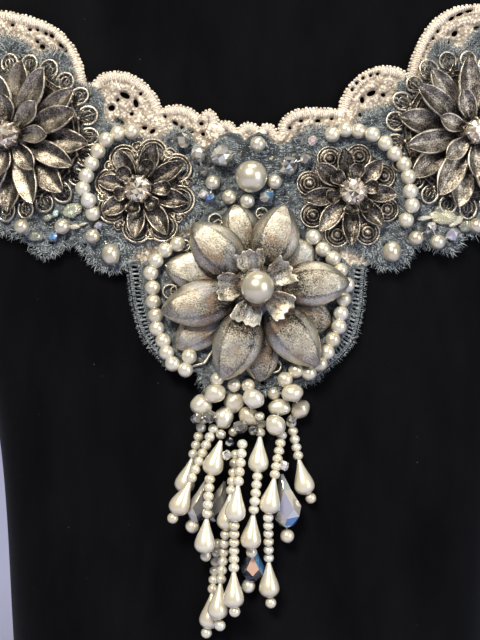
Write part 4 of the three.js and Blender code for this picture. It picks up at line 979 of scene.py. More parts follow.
def makeBlue(side, outline, tufts, area):
    shape, fuzz = Shape(), Shape()

    def field(u, v):
        d = outlineDistance(outline, u, v)[0]
        d = d + 0.3 * noise2(u, v, 1.1, 11) + 0.2 * noise2(u, v, 0.6, 12)
        d = d + 0.8 * bell(np.abs(u), 15, 2.2) * (v > 25) * (v < 51)  # closes the gap to the panel
        return np.minimum(d, openingField(u, v, blueOpenings, 0.1) + 0.12 * noise2(u, v, 0.7, 13))

    def guide(u, v):
        return u * 0.6 + 3 * np.sin(v / 4.5) + 2.2 * noise2(u, v, 6, 15)

    def top(u, v, depth):
        return yarnTop(u, v, depth, 0.75, 0.55, guide(u, v) + v * 0.5, blue["pitch"], blue["bumps"])

    def values(u, v, depth):
        lumps = noise2(u, v, 1.3, 16)
        # painted shade in the low places and between the ropes, a painted highlight on the lumps; darker at
        # the tufts' middles
        pit = 0.85 * clamped(-lumps) - 0.25 * clamped(lumps)
        for cu, cv, reach in tufts:
            pit = pit + 0.5 * bell(np.hypot(u - cu, v - cv), 0, 0.6 * reach)
        pit = pit + 0.3 * (1 - ropes(guide(u, v) + v * 0.5, blue["pitch"])) ** 2
        return {"along": guide(u, v) + 0.6 * v, "across": v - 0.4 * u, "pit": clamped(pit)}

    fabricMesh(shape, yarnSheet, field, area, blue["step"], overlayBack, top, values)
    spots = []
    rim = evenly(np.concatenate([outline, outline[:1]]), 0.5)
    ahead = np.gradient(rim, axis=0)
    for k, (u, v) in enumerate(rim):
        if abs(u) > frontReach - 1:
            continue
        out = math.atan2(-ahead[k][0], ahead[k][1])
        if isInside(outline, u + 0.4 * math.cos(out), v + 0.4 * math.sin(out)):
            out += math.pi
        for _ in range(blue["rimHairs"]):
            inset = rng.uniform(-0.1, 1.3)
            turn = out + rng.uniform(-0.9, 0.9)
            w = overlayBack + rng.uniform(0.9, 1.6)
            spots.append((u - inset * math.cos(out), v - inset * math.sin(out), w, turn))
    hairs(fuzz, spots, reach=1.9, width=0.17, lift=0.3, tone=0.8, pale=0.6)
    spots = []
    for u, v in scattered(blue["topHairs"], area, lambda u, v: isInside(outline, u, v)):
        turn = float(guide(u, v)) * 0.9 + rng.uniform(-0.7, 0.7)
        spots.append((u, v, overlayTop - 0.1 + rng.uniform(0, 0.3), turn))
    hairs(fuzz, spots, reach=1.8, width=0.19, lift=0.45, tone=1.3)
    spots = []
    for u, v, reach in tufts:
        for _ in range(blue["tuftHairs"]):
            turn = rng.uniform(0, 2 * math.pi)
            start = reach * rng.uniform(0.1, 0.62)
            w = overlayTop + rng.uniform(0, 0.5)
            spots.append((u + start * math.cos(turn), v + start * math.sin(turn), w, turn))
    hairs(fuzz, spots, reach=1.9, width=0.2, lift=0.8)
    yarn = makePiece(f"blue_yarn_{side}", shape, blueThread, [f"blue_lace_{side}"])
    makePiece(f"blue_yarn_{side}_fuzz", fuzz, blueThread, ())


makeBlue("left", blueLeft, tuftsLeft, (-72, -12, 12, 83))
makeBlue("right", blueRight, tuftsRight, (12, 72, 12, 84))
print("blue lace ready")


panelLeft = smoothCurve([(-35.2, 16.6), (-34.6, 13.5), (-33.4, 5), (-30.6, -4.5), (-23.5, -13.6)], 0.5)
panelRight = smoothCurve([(19.5, -16), (28.4, -7.5), (31.6, 2), (32.5, 12), (32.9, 15.8)], 0.5)
panelOutline = np.concatenate([
    panelLeft[panelLeft[:, 1] < 13.6],
    [(-14.5, -15.2), (-13, -19.6), (0, -20.4), (12, -18.6)],
    panelRight[panelRight[:, 1] < 12.2],
    [
        (24.5, 19.8), (16.4, 23.8), (14.8, 30), (14.8, 53.6), (12.6, 53), (10.8, 51), (9.2, 49.6),
        (7.4, 49.8), (6.2, 51.2), (5, 53), (2.6, 53.8), (0.4, 52.9), (-1.4, 51.4), (-3, 53.2), (-5.8, 53.9),
        (-8.8, 52.8), (-10.7, 50.2), (-12.6, 48.6), (-12.6, 30.5), (-17, 24.5), (-25, 20.8),
    ],
])  # fmt: skip
ladder = {"outer": 0.55, "inner": 3.3, "cord": 0.62, "bar": 0.3, "pitch": 1.25}
ladder["height"] = overlayBack + ladder["cord"]

panelOpenings = [
    (-9.5, 49.5, 1.2, 0.8, 30), (-3, 47.5, 1.1, 0.8, -20), (6, 46.5, 1.3, 0.9, 60),
    (12.6, 47.5, 1.1, 0.8, 0), (-11, 44, 1.0, 0.7, 70), (9.5, 35.5, 1.2, 0.8, 20),
    (-8.5, 31.5, 1.2, 0.7, 0), (-25.5, -3.5, 1.2, 0.8, 50), (24.3, -5.5, 1.2, 0.8, -50),
    (-19, -11.5, 1.1, 0.8, 0), (12, -15, 1.1, 0.7, 0), (-9.6, -17.5, 1.2, 0.7, 20), (3.5, -18, 1.2, 0.7, 0),
]  # fmt: skip


def offsetLine(line, distance):
    ahead = unit(np.gradient(line, axis=0))
    return line + np.stack([-ahead[:, 1], ahead[:, 0]], -1) * distance


bib = {
    "step": 0.42,
    "pitch": 2.3,
    "bumps": [(0.3, 1.1, 22), (0.2, 0.6, 23)],
    "foot": [(-14.5, -15.0), (-13, -19.4), (0, -20.2), (12, -18.4), (19.5, -15.8)],
    "topHairs": 1900,
}


# One edge of the panel: two twisted cords with bars between them.
def addLadder(shape, edge):
    sides, step, w = 8, 0.28, ladder["height"]
    for inset in (ladder["outer"], ladder["inner"] - 0.2):
        line = evenly(offsetLine(edge, inset), step)
        path = yarnSheet.place(line[:, 0], line[:, 1], w + 0 * line[:, 0])
        along = np.concatenate([np.repeat(np.arange(len(path)) * step, sides), [0, 0]])
        cord = tube(path, ladder["cord"], sides, plies=2, twist=0.75, depth=0.42)
        shape.add(*cord, along=along, across=0.0, pit=0.05)
    for at in evenly(edge, ladder["pitch"]):
        near = int(np.argmin(np.hypot(*(edge - at).T)))
        ahead = np.gradient(edge, axis=0)[near]
        inward = np.array([-ahead[1], ahead[0]]) / np.linalg.norm(ahead)
        slant = 0.35 * ahead / np.linalg.norm(ahead)
        steps = np.linspace(0.4, ladder["inner"], 4)
        line = np.array([at + inward * t + slant * (t / 3 - 0.5) for t in steps])
        path = yarnSheet.place(line[:, 0], line[:, 1], w + np.array([0.1, 0.35, 0.35, 0.1]))
        shape.add(*tube(path, ladder["bar"], 5), along=rng.random() * 9, across=0.0, pit=-0.15)


def makePanel():
    shape, fuzz = Shape(), Shape()
    ladders = [panelLeft, panelRight]

    def field(u, v):
        d = outlineDistance(panelOutline, u, v)[0]
        for edge in ladders:
            d = np.minimum(d, lineDistance(edge, u, v)[0] - ladder["inner"])
        d = d + 0.15 * noise2(u, v, 0.9, 21) + 0.5 * (v > 26) * (v < 51)
        return np.minimum(d, openingField(u, v, panelOpenings, 0.1))

    # rings of yarn round two places at the top and round the flower below
    def ringGuide(u, v):
        gap = np.minimum(np.hypot(u + 7, v - 48), np.hypot(u - 2.6, v - 49) + 1.6)
        return np.where(v > 32, gap, np.hypot(u - 2, v - 9))

    def top(u, v, depth):
        return yarnTop(u, v, depth, 0.65, 0.5, ringGuide(u, v), bib["pitch"], bib["bumps"])

    def values(u, v, depth):
        turn = np.arctan2(v - 48, u + 7)
        ring = ringGuide(u, v)
        # painted shade in the hollows and between the ropes
        pit = 0.7 * clamped(-noise2(u, v, 1.1, 22)) + 0.4 * (1 - ropes(ring, bib["pitch"])) ** 2
        pit = pit + (v > 40) * (0.35 * bell(ring, 5.4, 0.8) - 0.35 * (ring < 4.4))
        return {"along": turn * np.maximum(ring, 1), "across": ring, "pit": clamped(pit)}

    fabricMesh(shape, yarnSheet, field, (-36, 34, -22, 55), bib["step"], overlayBack, top, values)
    for edge in ladders:
        addLadder(shape, edge)
    spots = []
    for edge in ladders:
        ahead = np.gradient(edge, axis=0)
        for k, (u, v) in enumerate(edge):
            out = math.atan2(-ahead[k][0], ahead[k][1])
            for _ in range(3):
                height = ladder["height"] + rng.uniform(-0.2, 0.4)
                spots.append((u, v, height, out + rng.uniform(-0.9, 0.9)))
    hairs(fuzz, spots, reach=1.0, width=0.14, lift=0.3)
    spots = []
    for u, v in evenly(np.array(bib["foot"], float), 0.3):
        for _ in range(4):
            spots.append((u, v, overlayBack + rng.uniform(0.2, 1.2), -math.pi / 2 + rng.uniform(-1.1, 1.1)))
    hairs(fuzz, spots, reach=2.0, width=0.18, lift=0.6)

    def bare(u, v):  # not under the flower
        return isInside(panelOutline, u, v) and (v > 24 or abs(u) > 18 or v < -10)

    spots = []
    for u, v in scattered(bib["topHairs"], (-32, 31, -19, 52), bare):
        spots.append((u, v, overlayTop - 0.2 + rng.uniform(0, 0.3), rng.uniform(0, 6.3)))
    hairs(fuzz, spots, reach=1.5, width=0.17, lift=0.4, tone=1.3)
    panel = makePiece("panel_lace", shape, blueThread, ["blue_panel"])
    makePiece("panel_lace_fuzz", fuzz, blueThread, ())


makePanel()
print("panel ready")


napeBand = {"bottom": 222, "top": 243, "halfGap": 7}
sideBand = {
    "low": 29,
    "high": 87,
    "joint": frontReach + 0.4,
    "back": laceBack + 0.4,
    "columns": 230,
    "rows": 34,
    "ridges": [(1.0, 0.9, 0.7), (3.6, 0.7, 0.25)],  # inset, width, height
}


def turnOf(share):
    return np.arccos(share ** (bustPower / 2))


def makeSide(name, side, node):
    columns, rows = sideBand["columns"], sideBand["rows"]
    j = np.linspace(0, 1, rows + 1)
    i = np.linspace(0, 1, columns + 1)[:, None]
    startV = sideBand["low"] + (sideBand["high"] - sideBand["low"]) * j
    start = bustHit(*frontRay(np.full(rows + 1, sideBand["joint"] * side), startV))
    endZ = napeBand["bottom"] + (napeBand["top"] - napeBand["bottom"]) * j
    z = start[:, 2] + (endZ - start[:, 2]) * i ** (0.8 + 0.45 * j)
    startTurn = -turnOf(np.abs(start[:, 0]) / sectionAt(start[:, 2])[0])
    endTurn = turnOf(napeBand["halfGap"] / sectionAt(endZ)[0])
    foot = sectionPoint(z, startTurn + (endTurn - startTurn) * i)
    foot[..., 0] *= side
    normal = bustNormal(foot)
    breadth = np.linalg.norm(foot[:, -1] - foot[:, 0], axis=-1)[:, None]
    across = breadth * j[None]
    steps = np.linalg.norm(np.diff(foot[:, rows // 2], axis=0), axis=-1)
    length = np.cumsum(np.concatenate([[0], steps]))[:, None]
    edge = np.minimum(across, breadth - across)
    cord, fold = (high * bell(edge, inset, width) for inset, width, high in sideBand["ridges"])
    height = sideBand["back"] + laceWall * np.sqrt(clamped(edge + 0.25)) + cord + fold
    top, low = foot + normal * height[..., None], foot + normal * sideBand["back"]
    ripple = np.where(edge < 3, length + 0 * edge, 0.8 * length + 0.5 * across)
    # a painted shade line in the groove between the cord and the fold
    shape, pit = Shape(), 0.3 * bell(edge, 2.5, 0.4)
    addSlab(shape, top, low, mirror=side < 0, inward=side > 0, pit=pit, along=ripple, across=edge)
    return makePiece(name, shape, ivoryThread, [node])


for band in (makeSide("band_left", -1, "side_lace_left"), makeSide("band_right", 1, "side_lace_right")):
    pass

claspPlate = {"halfWidth": 6.4, "height": 17, "thickness": 2.4, "bevel": 0.9, "drop": 0.8, "groove": 2.1}


def makeClasp():
    columns, rows = 28, 34
    half, height = claspPlate["halfWidth"], claspPlate["height"] / 2
    i, j = grid(np.linspace(-1, 1, columns + 1), np.linspace(-1, 1, rows + 1))
    x = i * half
    z = (napeBand["bottom"] + napeBand["top"]) / 2 + j * claspPlate["height"] / 2
    origin = np.stack([x, 150 + 0 * x, z], -1)
    foot = bustHit(origin, np.broadcast_to(np.array([0.0, -1, 0]), origin.shape), 160)
    normal = bustNormal(foot)
    inset = np.minimum(half * (1 - np.abs(i)), height * (1 - np.abs(j)))
    bevel = clamped(inset / claspPlate["bevel"])
    drop = claspPlate["drop"] * (1 - np.sqrt(bevel * (2 - bevel)))
    groove = 0.35 * bell(inset, claspPlate["groove"], 0.35)
    top = foot + normal * (laceBack + claspPlate["thickness"] - drop - groove)[..., None]
    wear = clamped(0.45 + 0.4 * (inset < 1.2) - groove)
    shape = Shape()
    addSlab(shape, top, foot + normal * laceBack, inward=True, wear=wear, along=z, across=x)
    makePiece("clasp_plate", shape, champagneSilver, ["clasp"])


makeClasp()
print("bands and clasp ready")


def onFlower(sheet, s, t, height):
    s, t = np.broadcast_arrays(np.asarray(s, float), t)
    return sheet.place(s, t, flowerBack + np.asarray(height, float))


# Half width along a leaf: narrow at its foot, full at the peak, closed at the tip.
def almond(t, start, peak, power):
    share = start + (1 - start) * t
    bend = math.log(0.5) / math.log(start + (1 - start) * peak)
    return np.clip(np.sin(np.pi * share**bend), 0, 1) ** power


# Sections across a leaf, from -1 to 1: the middle is low in a trough and a bowl, and high when bevelled.
def trough(x):
    far = np.abs(x)
    return 0.75 * far**1.15 + 0.25 * far**3 + 0.1 * bell(far, 0.9, 0.08) - rolledEdge(far)


def bowl(x):
    return x**2 - rolledEdge(np.abs(x))


def rolledEdge(far):
    return 0.5 * clamped(far - 0.94) / 0.06


def bevelled(x):
    return np.interp(np.abs(x), [0, 0.3, 0.53, 0.55, 0.8, 1], [1, 0.98, 0.92, 0.905, 0.5, 0])


bevelSteps = np.array([0, 0.16, 0.3, 0.42, 0.5, 0.53, 0.555, 0.6, 0.7, 0.8, 0.9, 1.0])


# Closed leaf from its foot to its tip; rise lists heights along it, dome lifts its middle over its sides.
def addLeaf(shape, sheet, leaf, angle, outer, width, wear, bend, lean):
    rows, columns = leaf["grid"]
    x = np.sin(np.linspace(-np.pi / 2, np.pi / 2, columns))
    if leaf["section"] is bevelled:
        x = np.concatenate([-bevelSteps[:0:-1], bevelSteps])
    t, x = grid(np.linspace(0, 1, rows) ** 0.9, x)
    share = almond(t, *leaf["form"])
    radius = leaf["inner"] + (outer - leaf["inner"]) * t
    side = width / 2 * share * x + bend * np.sin(np.pi * t)
    s, v = turned(radius, side, angle)
    middle = np.interp(t, np.linspace(0, 1, len(leaf["rise"])), leaf["rise"])
    high = middle + leaf["dome"] * leaf["section"](x) * clamped(share * 1.6) + lean * side
    thick = leaf["thickness"] * (0.35 + 0.65 * (1 - x**2)) * np.clip((1 - t) * 5, 0.25, 1)
    top, low = onFlower(sheet, s, v, high), onFlower(sheet, s, v, high - thick)
    wornAndShaded = clamped(wear(t, x))
    # the underside is painted darker, 0.3 of the top: painted shade
    wear = np.stack([wornAndShaded, wornAndShaded * 0.3])
    addSlab(shape, top, low, wear=wear, along=radius + angle, across=side + angle * 0.37)


# Round wire along a line laid out on the flower; height is one number or one for each point.
def addWire(shape, sheet, line, height, radius, wear, sides=6):
    line = np.asarray(line, float)
    path = onFlower(sheet, line[:, 0], line[:, 1], np.asarray(height, float) + 0 * line[:, 0])
    shape.add(*tube(path, radius, sides), wear=wear, along=rng.random() * 30, across=rng.random() * 30)


def arcLine(middle, radius, start, end, count, stretch=1.0, turn=0.0):
    around = np.radians(np.linspace(start, end, count))
    a, b = radius * np.cos(around) * stretch, radius * np.sin(around)
    c, d = math.cos(math.radians(turn)), math.sin(math.radians(turn))
    return np.stack([middle[0] + a * c - b * d, middle[1] + a * d + b * c], -1)


def polar(radius, angle):
    return turned(radius, 0, angle)


def addBall(shape, sheet, place, height, half, radius, wear, number):
    middle = onFlower(sheet, *place, height)
    ball = lathe(middle, sheetOut, (1, 0, 0), ballProfile(half, radius, 6), 10)
    shape.add(*ball, wear=wear, along=number, across=number)


# Round dome from rings of radius and height over its foot; its wear and painted shade is a number or a
# function of both.
def addBoss(shape, sheet, middle, height, rows, wear, sides):
    turn = np.arange(sides) * 2 * np.pi / sides
    radius, high = np.array(rows, float).T[..., None]
    s = middle[0] + radius * np.cos(turn)
    t = middle[1] + radius * np.sin(turn)
    rings = onFlower(sheet, s, t, height + high + 0 * s)
    points = np.concatenate([rings.reshape(-1, 3), rings[0].mean(0)[None], rings[-1].mean(0)[None]])
    each = [wear(*row) if callable(wear) else wear for row in rows]
    wornAndShaded = np.concatenate([np.repeat(each, sides), [0.1, each[-1]]])
    along, across = points[:, 0] * 1000 % 7, points[:, 2] * 1000 % 5
    shape.add(points, skinFaces(len(rows), sides), wear=wornAndShaded, along=along, across=across)


# A dark disc under each flower: painted shade under the leaves and filigree.
def addPlate(shape, sheet, radius, low, high):
    rows = [(radius, low), (radius, high), (radius - 0.4, high + 0.15)]
    addBoss(shape, sheet, (0, 0), 0, rows, 0.12, 48)


# Flat facets, each with its own corners and its own place on the colour scale.
def addFacets(shape, points, faces, tone, spread):
    for face in faces:
        facet = float(clamped(tone + rng.uniform(-spread, spread)))
        shape.add(points[face], [list(range(len(face)))], facet=facet)


# Round stone: table, star and kite facets over a girdle, and a short pavilion hidden in the cup. Each
# facet's colour is a painted reflection: painted glints on the star facets, darker below the girdle.
def brilliant(shape, sheet, radius, seat, spin):
    sides = 8
    low, girdle, lip, shoulder, crown = (seat + high for high in (0.35, 1.3, 1.55, 2.4, 2.85))
    glints = [0.1, 0.3, 0.55, 0.6, 0.72, 0.9]

    def ring(share, height, count, shift):
        turn = (np.arange(count) + shift) * 2 * np.pi / count + spin
        return onFlower(sheet, radius * share * np.cos(turn), radius * share * np.sin(turn), height)

    table, waist = ring(0.5, crown, sides, 0), ring(0.78, shoulder, sides, 0.5)
    rim, belt = ring(0.99, lip, 2 * sides, 0), ring(1.0, girdle, 2 * sides, 0)
    points = np.concatenate([table, waist, rim, belt, ring(0.35, low, sides, 0)])
    w, r, b, f = sides, 2 * sides, 4 * sides, 6 * sides  # where the rings after the table start
    heart = onFlower(sheet, 0.0, 0.0, crown - 0.12).reshape(1, 3)
    for j in range(sides):
        i, k, last = (j - 1) % sides, (j + 1) % sides, (2 * j + 2) % (2 * sides)
        half = (points[j] + points[k]) / 2
        for one, two in ((points[j], half), (half, points[k])):
            addFacets(shape, np.array([heart[0], one, two]), [[0, 1, 2]], rng.choice(glints), 0.08)
        addFacets(shape, points, [[j, w + j, k]], 0.55, 0.45)
        addFacets(shape, points, [[j, w + i, r + 2 * j], [j, r + 2 * j, w + j]], 0.5, 0.5)
        upper = [[w + j, r + 2 * j, r + 2 * j + 1], [w + j, r + 2 * j + 1, r + last]]
        addFacets(shape, points, upper, 0.55, 0.45)
        for m in (2 * j, 2 * j + 1):
            o = (m + 1) % (2 * sides)
            addFacets(shape, points, [[r + m, b + m, b + o, r + o]], 0.5, 0.3)
        under = [[b + 2 * j, f + j, b + 2 * j + 1], [b + 2 * j + 1, f + j, f + k, b + last]]
        addFacets(shape, points, under, 0.3, 0.3)
    addFacets(shape, points, [[f + j for j in range(sides)][::-1]], 0.2, 0.1)


# Cup with claws folded over the stone's edge.
def addSetting(shape, sheet, stone, spin):
    radius, seat, claws = stone["radius"], stone["seat"], 8
    cup = [
        (radius * 0.75, seat - 1.4), (radius * 0.95, seat - 0.5), (radius + 0.32, seat + 1.0),
        (radius + 0.3, seat + 1.35), (radius + 0.08, seat + 1.3), (radius * 0.9, seat + 0.4),
    ]  # fmt: skip
    addBoss(shape, sheet, (0, 0), 0, cup, 0.45, 24)
    claw = [(radius + 0.42, 0.1), (radius + 0.42, 1.2), (radius + 0.2, 1.95), (radius * 0.82, 2.35)]
    for k in range(claws):
        line = [polar(r, 360 * k / claws + spin) for r, _ in claw]
        addWire(shape, sheet, line, [seat + h for _, h in claw], [0.42, 0.42, 0.4, 0.28], 0.8)


def makeStone(name, sheet, stone, node):
    shape = Shape()
    brilliant(shape, sheet, stone["radius"], stone["seat"], rng.uniform(0, 0.7))
    makePiece(name, shape, rhinestone, [node], smooth=False)


leafKeys = ["inner", "width", "form", "rise", "dome", "section", "thickness", "grid"]


def leafForm(*values):
    return dict(zip(leafKeys, values))


largeRises = [  # height of the leaves along their length, layer by layer
    [1.7, 1.8, 2.1, 2.4, 2.8, 3.3],
    [3.8, 3.9, 4.2, 4.5, 5.0, 5.7],
    [6.0, 6.0, 6.2, 6.5, 6.9, 7.6],
]
largeFlower = {
    "stoneHeight": 12.5,
    "stone": {"radius": 3.3, "seat": 7.4},
    "plate": 18.6,
    "arches": {"count": 22, "radius": 20.9, "size": 2.4},
    "rings": (16.6, 18.0),
    "curls": {"count": 40, "radius": 17.3, "size": 0.8},
    "lower": leafForm(6.5, 7.2, (0.1, 0.5, 0.66), largeRises[0], 1.35, trough, 0.45, (19, 15)),
    "upper": leafForm(4.6, 7.2, (0.1, 0.5, 0.66), largeRises[1], 1.45, trough, 0.45, (19, 15)),
    "short": leafForm(3.2, 5.7, (0.14, 0.52, 0.7), largeRises[2], 1.1, trough, 0.45, (19, 15)),
    "neck": [(5.2, 1.0), (5.4, 3.0), (4.6, 5.4), (3.4, 6.4)],
}


# The pierced rim: arches with rays and an inner loop, two rings and a row of curls between them.
def addFiligree(shape, sheet, phase):
    arches, curls = largeFlower["arches"], largeFlower["curls"]
    for k in range(arches["count"]):
        angle = 360 * (k + phase) / arches["count"]
        size = arches["size"] + 0.2 * math.sin(k * 2.1)
        middle = polar(arches["radius"] + 0.3 * math.sin(k * 1.3), angle)
        rim = arcLine(middle, size, -136, 136, 19, 1.12 + 0.1 * math.sin(k * 3.7), angle)
        addWire(shape, sheet, rim, 1.15, 0.37, 0.85)
        foot = polar(arches["radius"] - 2.5, angle)
        for at in (3, 6, 9, 12, 15):
            ray = [foot, (np.array(foot) + rim[at]) / 2, rim[at]]
            addWire(shape, sheet, ray, [0.7, 0.95, 0.95], 0.2, 0.35 + 0.3 * (at % 2), 5)
        addWire(shape, sheet, arcLine(middle, size * 0.52, -150, 150, 11, 1.0, angle), 1.1, 0.22, 0.55, 5)
        addBall(shape, sheet, foot, 1.05, 0.55, 0.62, 0.7, k)
    for radius in largeFlower["rings"]:
        addWire(shape, sheet, arcLine((0, 0), radius, 0, 360, 97), 0.95, 0.34, 0.45)
    for k in range(curls["count"]):
        angle = 360 * k / curls["count"]
        curl = arcLine(polar(curls["radius"], angle), curls["size"], -180, 120, 9, turn=angle * 2)
        addWire(shape, sheet, curl, 0.9, 0.2, 0.4, 5)


def makeLargeFlower(side, layers, phase):
    sheet = flowerSheet(*largePlaces[side], largeFlower["stoneHeight"], 28)
    shape = Shape()
    addPlate(shape, sheet, largeFlower["plate"], 0.2, 0.9)
    addFiligree(shape, sheet, phase)

    # rubbed bright on the rims, with painted shade at each leaf's foot, and lighter towards its tip
    def outerWearAndShade(t, x):
        rim, fold = bell(np.abs(x), 0.93, 0.07), bell(x, 0, 0.07)
        return 0.5 + 0.4 * rim + 0.1 * fold - 0.5 * bell(t, 0, 0.24) + 0.12 * (t - 0.5) + patchy

    for layer, leaves in layers.items():
        leaf = largeFlower[layer]
        for angle, outer in leaves:
            patchy = rng.uniform(-0.14, 0.14)
            width = leaf["width"] * rng.uniform(0.92, 1.05)
            bend, lean = rng.uniform(-0.4, 0.4), rng.uniform(-0.12, 0.12)
            addLeaf(shape, sheet, leaf, angle, outer, width, outerWearAndShade, bend, lean)
    addBoss(shape, sheet, (0, 0), 0, largeFlower["neck"], 0.1, 20)
    addSetting(shape, sheet, largeFlower["stone"], 11)
    makePiece(f"tall_flower_{side}", shape, darkSilver, [f"large_flower_{side}"])
    makeStone(f"tall_stone_{side}", sheet, largeFlower["stone"], f"stone_large_{side}")


# turn and reach of each leaf
tallLeft = {
    "lower": [
        (-4, 21.4), (40, 21.2), (88, 21.5), (133, 21), (178, 21.3), (-137, 21), (-92, 21.4), (-46, 21.5),
    ],
    "upper": [
        (22, 19.4), (67, 20.8), (112, 20), (157, 20.4), (-158, 20), (-113, 20.2), (-68, 20.4),
        (-24, 19.8),
    ],
    "short": [(0, 11.2), (52, 12), (103, 11.8), (154, 11.6), (-155, 11.8), (-102, 12), (-50, 12.4)],
}  # fmt: skip
tallRight = {
    "lower": [(119.7, 21), (166, 20.8), (214, 21.4), (257, 21.4), (303, 21), (348, 21), (33, 21), (74, 21)],
    "upper": [
        (91.5, 21.5), (138.7, 20.2), (190, 19.4), (237.5, 20.8), (283, 20.4), (328, 20.4), (13, 20.4),
        (52, 20.4),
    ],
    "short": [(157.6, 11), (219, 11.8), (106, 12.4), (265, 12.8), (313, 12), (1, 12), (54, 12)],
}  # fmt: skip
largePlaces = {"left": (-70, 53), "right": (65.5, 54)}
makeLargeFlower("left", tallLeft, 0.1)
makeLargeFlower("right", tallRight, 0.32)
print("large flowers ready")


smallFlower = {
    "stoneHeight": 9.5,
    "stone": {"radius": 3.4, "seat": 4.6},
    "plate": 12.2,
    "leaf": leafForm(
        3.2, 5.4, (0.14, 0.5, 0.8), [2.2, 2.0, 2.1, 2.3, 2.7, 3.3], 1.5, trough, 0.5, (19, 15)
    ),
    "spoon": leafForm(
        2.8, 4.5, (0.2, 0.66, 0.5), [3.4, 3.3, 3.3, 3.4, 3.9, 4.9], 1.1, bowl, 0.5, (17, 13)
    ),
    "neck": [(4.4, 0.6), (4.6, 2.2), (3.4, 3.8), (2.6, 4.4)],
    "boss": [
        (2.9, 0.0), (2.9, 0.9), (2.6, 1.25), (2.2, 1.0), (1.9, 1.35), (1.6, 1.75), (1.25, 1.4), (1.0, 1.75),
        (0.7, 2.15), (0.2, 2.3),
    ],
}  # fmt: skip
smallLeft = {
    "place": (-32.2, 37.5),
    "leaves": [
        (118.7, 13.1), (72.7, 14.1), (32, 15), (-13.8, 14.6), (-57.8, 15.4), (-93.3, 14), (214.2, 12.5),
        (168, 12.1),
    ],
    "spoons": [(133.9, 7.6), (70, 8.5), (3.3, 8.7), (-46.7, 6.9), (254.5, 6.7), (193.4, 6.5)],
    "bosses": [],
}  # fmt: skip
smallRight = {
    "place": (29.5, 36.8),
    "leaves": [
        (99, 12.9), (47.3, 12.5), (-3.5, 13), (-49, 13), (268.1, 15.3), (230.8, 14.6), (187.3, 14.1),
        (140.6, 12.9),
    ],
    "spoons": [(133.9, 7.2), (76.5, 7.7), (14, 7), (-46.8, 6.6), (265.5, 6.3), (194.4, 7.2)],
    "bosses": [
        (120.4, 11.2), (76.2, 10.5), (166.8, 11.8), (210.5, 12.4), (251.3, 12.5), (291.7, 12.2),
        (-25.6, 11.1), (26.8, 10.4),
    ],
}  # fmt: skip


# Two loops of wire round each leaf's tip, and a spiral with a ball between neighbours.
def addLoops(shape, sheet, leaves):
    count, turns = 21, 560
    for k, (angle, outer) in enumerate(leaves):
        middle = polar(outer - 3.2, angle)
        addWire(shape, sheet, arcLine(middle, 4.0, -115, 115, 21, turn=angle), 0.85, 0.42, 0.75)
        addWire(shape, sheet, arcLine(middle, 3.1, -120, 120, 17, turn=angle), 1.0, 0.34, 0.55)
        farAngle, farOuter = leaves[(k + 1) % len(leaves)]
        gap = (farAngle - angle + 180) % 360 - 180
        curl = polar((outer + farOuter) / 2 - 1.6, angle + gap / 2)
        spiral = [polar(1.9 - 1.5 * f, f * turns) for f in np.linspace(0, 1, count)]
        line = [(curl[0] + s, curl[1] + t) for s, t in spiral]
        addWire(shape, sheet, line, np.linspace(0.7, 1.3, count), 0.34, 0.7)
        addBall(shape, sheet, curl, 1.4, 0.5, 0.7, 0.8, k)


# A boss is bright on its two rings and on its top.
def bossWear(r, h):
    return 0.5 if abs(r - 2.6) < 0.1 or abs(r - 1.6) < 0.1 or r < 0.8 else 0.06


def makeSmallFlower(side, data):
    sheet = flowerSheet(*data["place"], smallFlower["stoneHeight"], 20)
    shape = Shape()
    addPlate(shape, sheet, smallFlower["plate"], 0.1, 0.6)
    leaf, spoon = smallFlower["leaf"], smallFlower["spoon"]
    if not data["bosses"]:
        addLoops(shape, sheet, data["leaves"])
    for angle, radius in data["bosses"]:
        middle = polar(radius, angle)
        addBoss(shape, sheet, middle, 0.1, smallFlower["boss"], bossWear, 26)
        addWire(shape, sheet, arcLine(middle, 3.35, -125, 125, 19, turn=angle), 0.7, 0.3, 0.7)

    # bright rims, with painted shade at each leaf's foot, and lighter towards its tip
    def leafWearAndShade(t, x):
        return 0.27 + 0.5 * bell(np.abs(x), 0.92, 0.07) - 0.3 * bell(t, 0, 0.3) + 0.2 * (t - 0.5) + patchy

    for angle, outer in data["leaves"]:
        patchy = rng.uniform(-0.08, 0.12)
        width = leaf["width"] * rng.uniform(0.95, 1.08)
        bend, lean = rng.uniform(-0.4, 0.4), rng.uniform(-0.15, 0.15)
        addLeaf(shape, sheet, leaf, angle, outer - 0.3, width, leafWearAndShade, bend, lean)
    for angle, outer in data["spoons"]:
        patchy = rng.uniform(-0.1, 0.1)
        lean = rng.uniform(-0.1, 0.1)
        addLeaf(shape, sheet, spoon, angle, outer + 0.3, spoon["width"], leafWearAndShade, 0, lean)
    addBoss(shape, sheet, (0, 0), 0, smallFlower["neck"], 0.1, 20)
    addSetting(shape, sheet, smallFlower["stone"], 20)
    makePiece(f"low_flower_{side}", shape, darkSilver, [f"small_flower_{side}"])
    makeStone(f"low_stone_{side}", sheet, smallFlower["stone"], f"stone_small_{side}")


makeSmallFlower("left", smallLeft)
makeSmallFlower("right", smallRight)
print("small flowers ready")


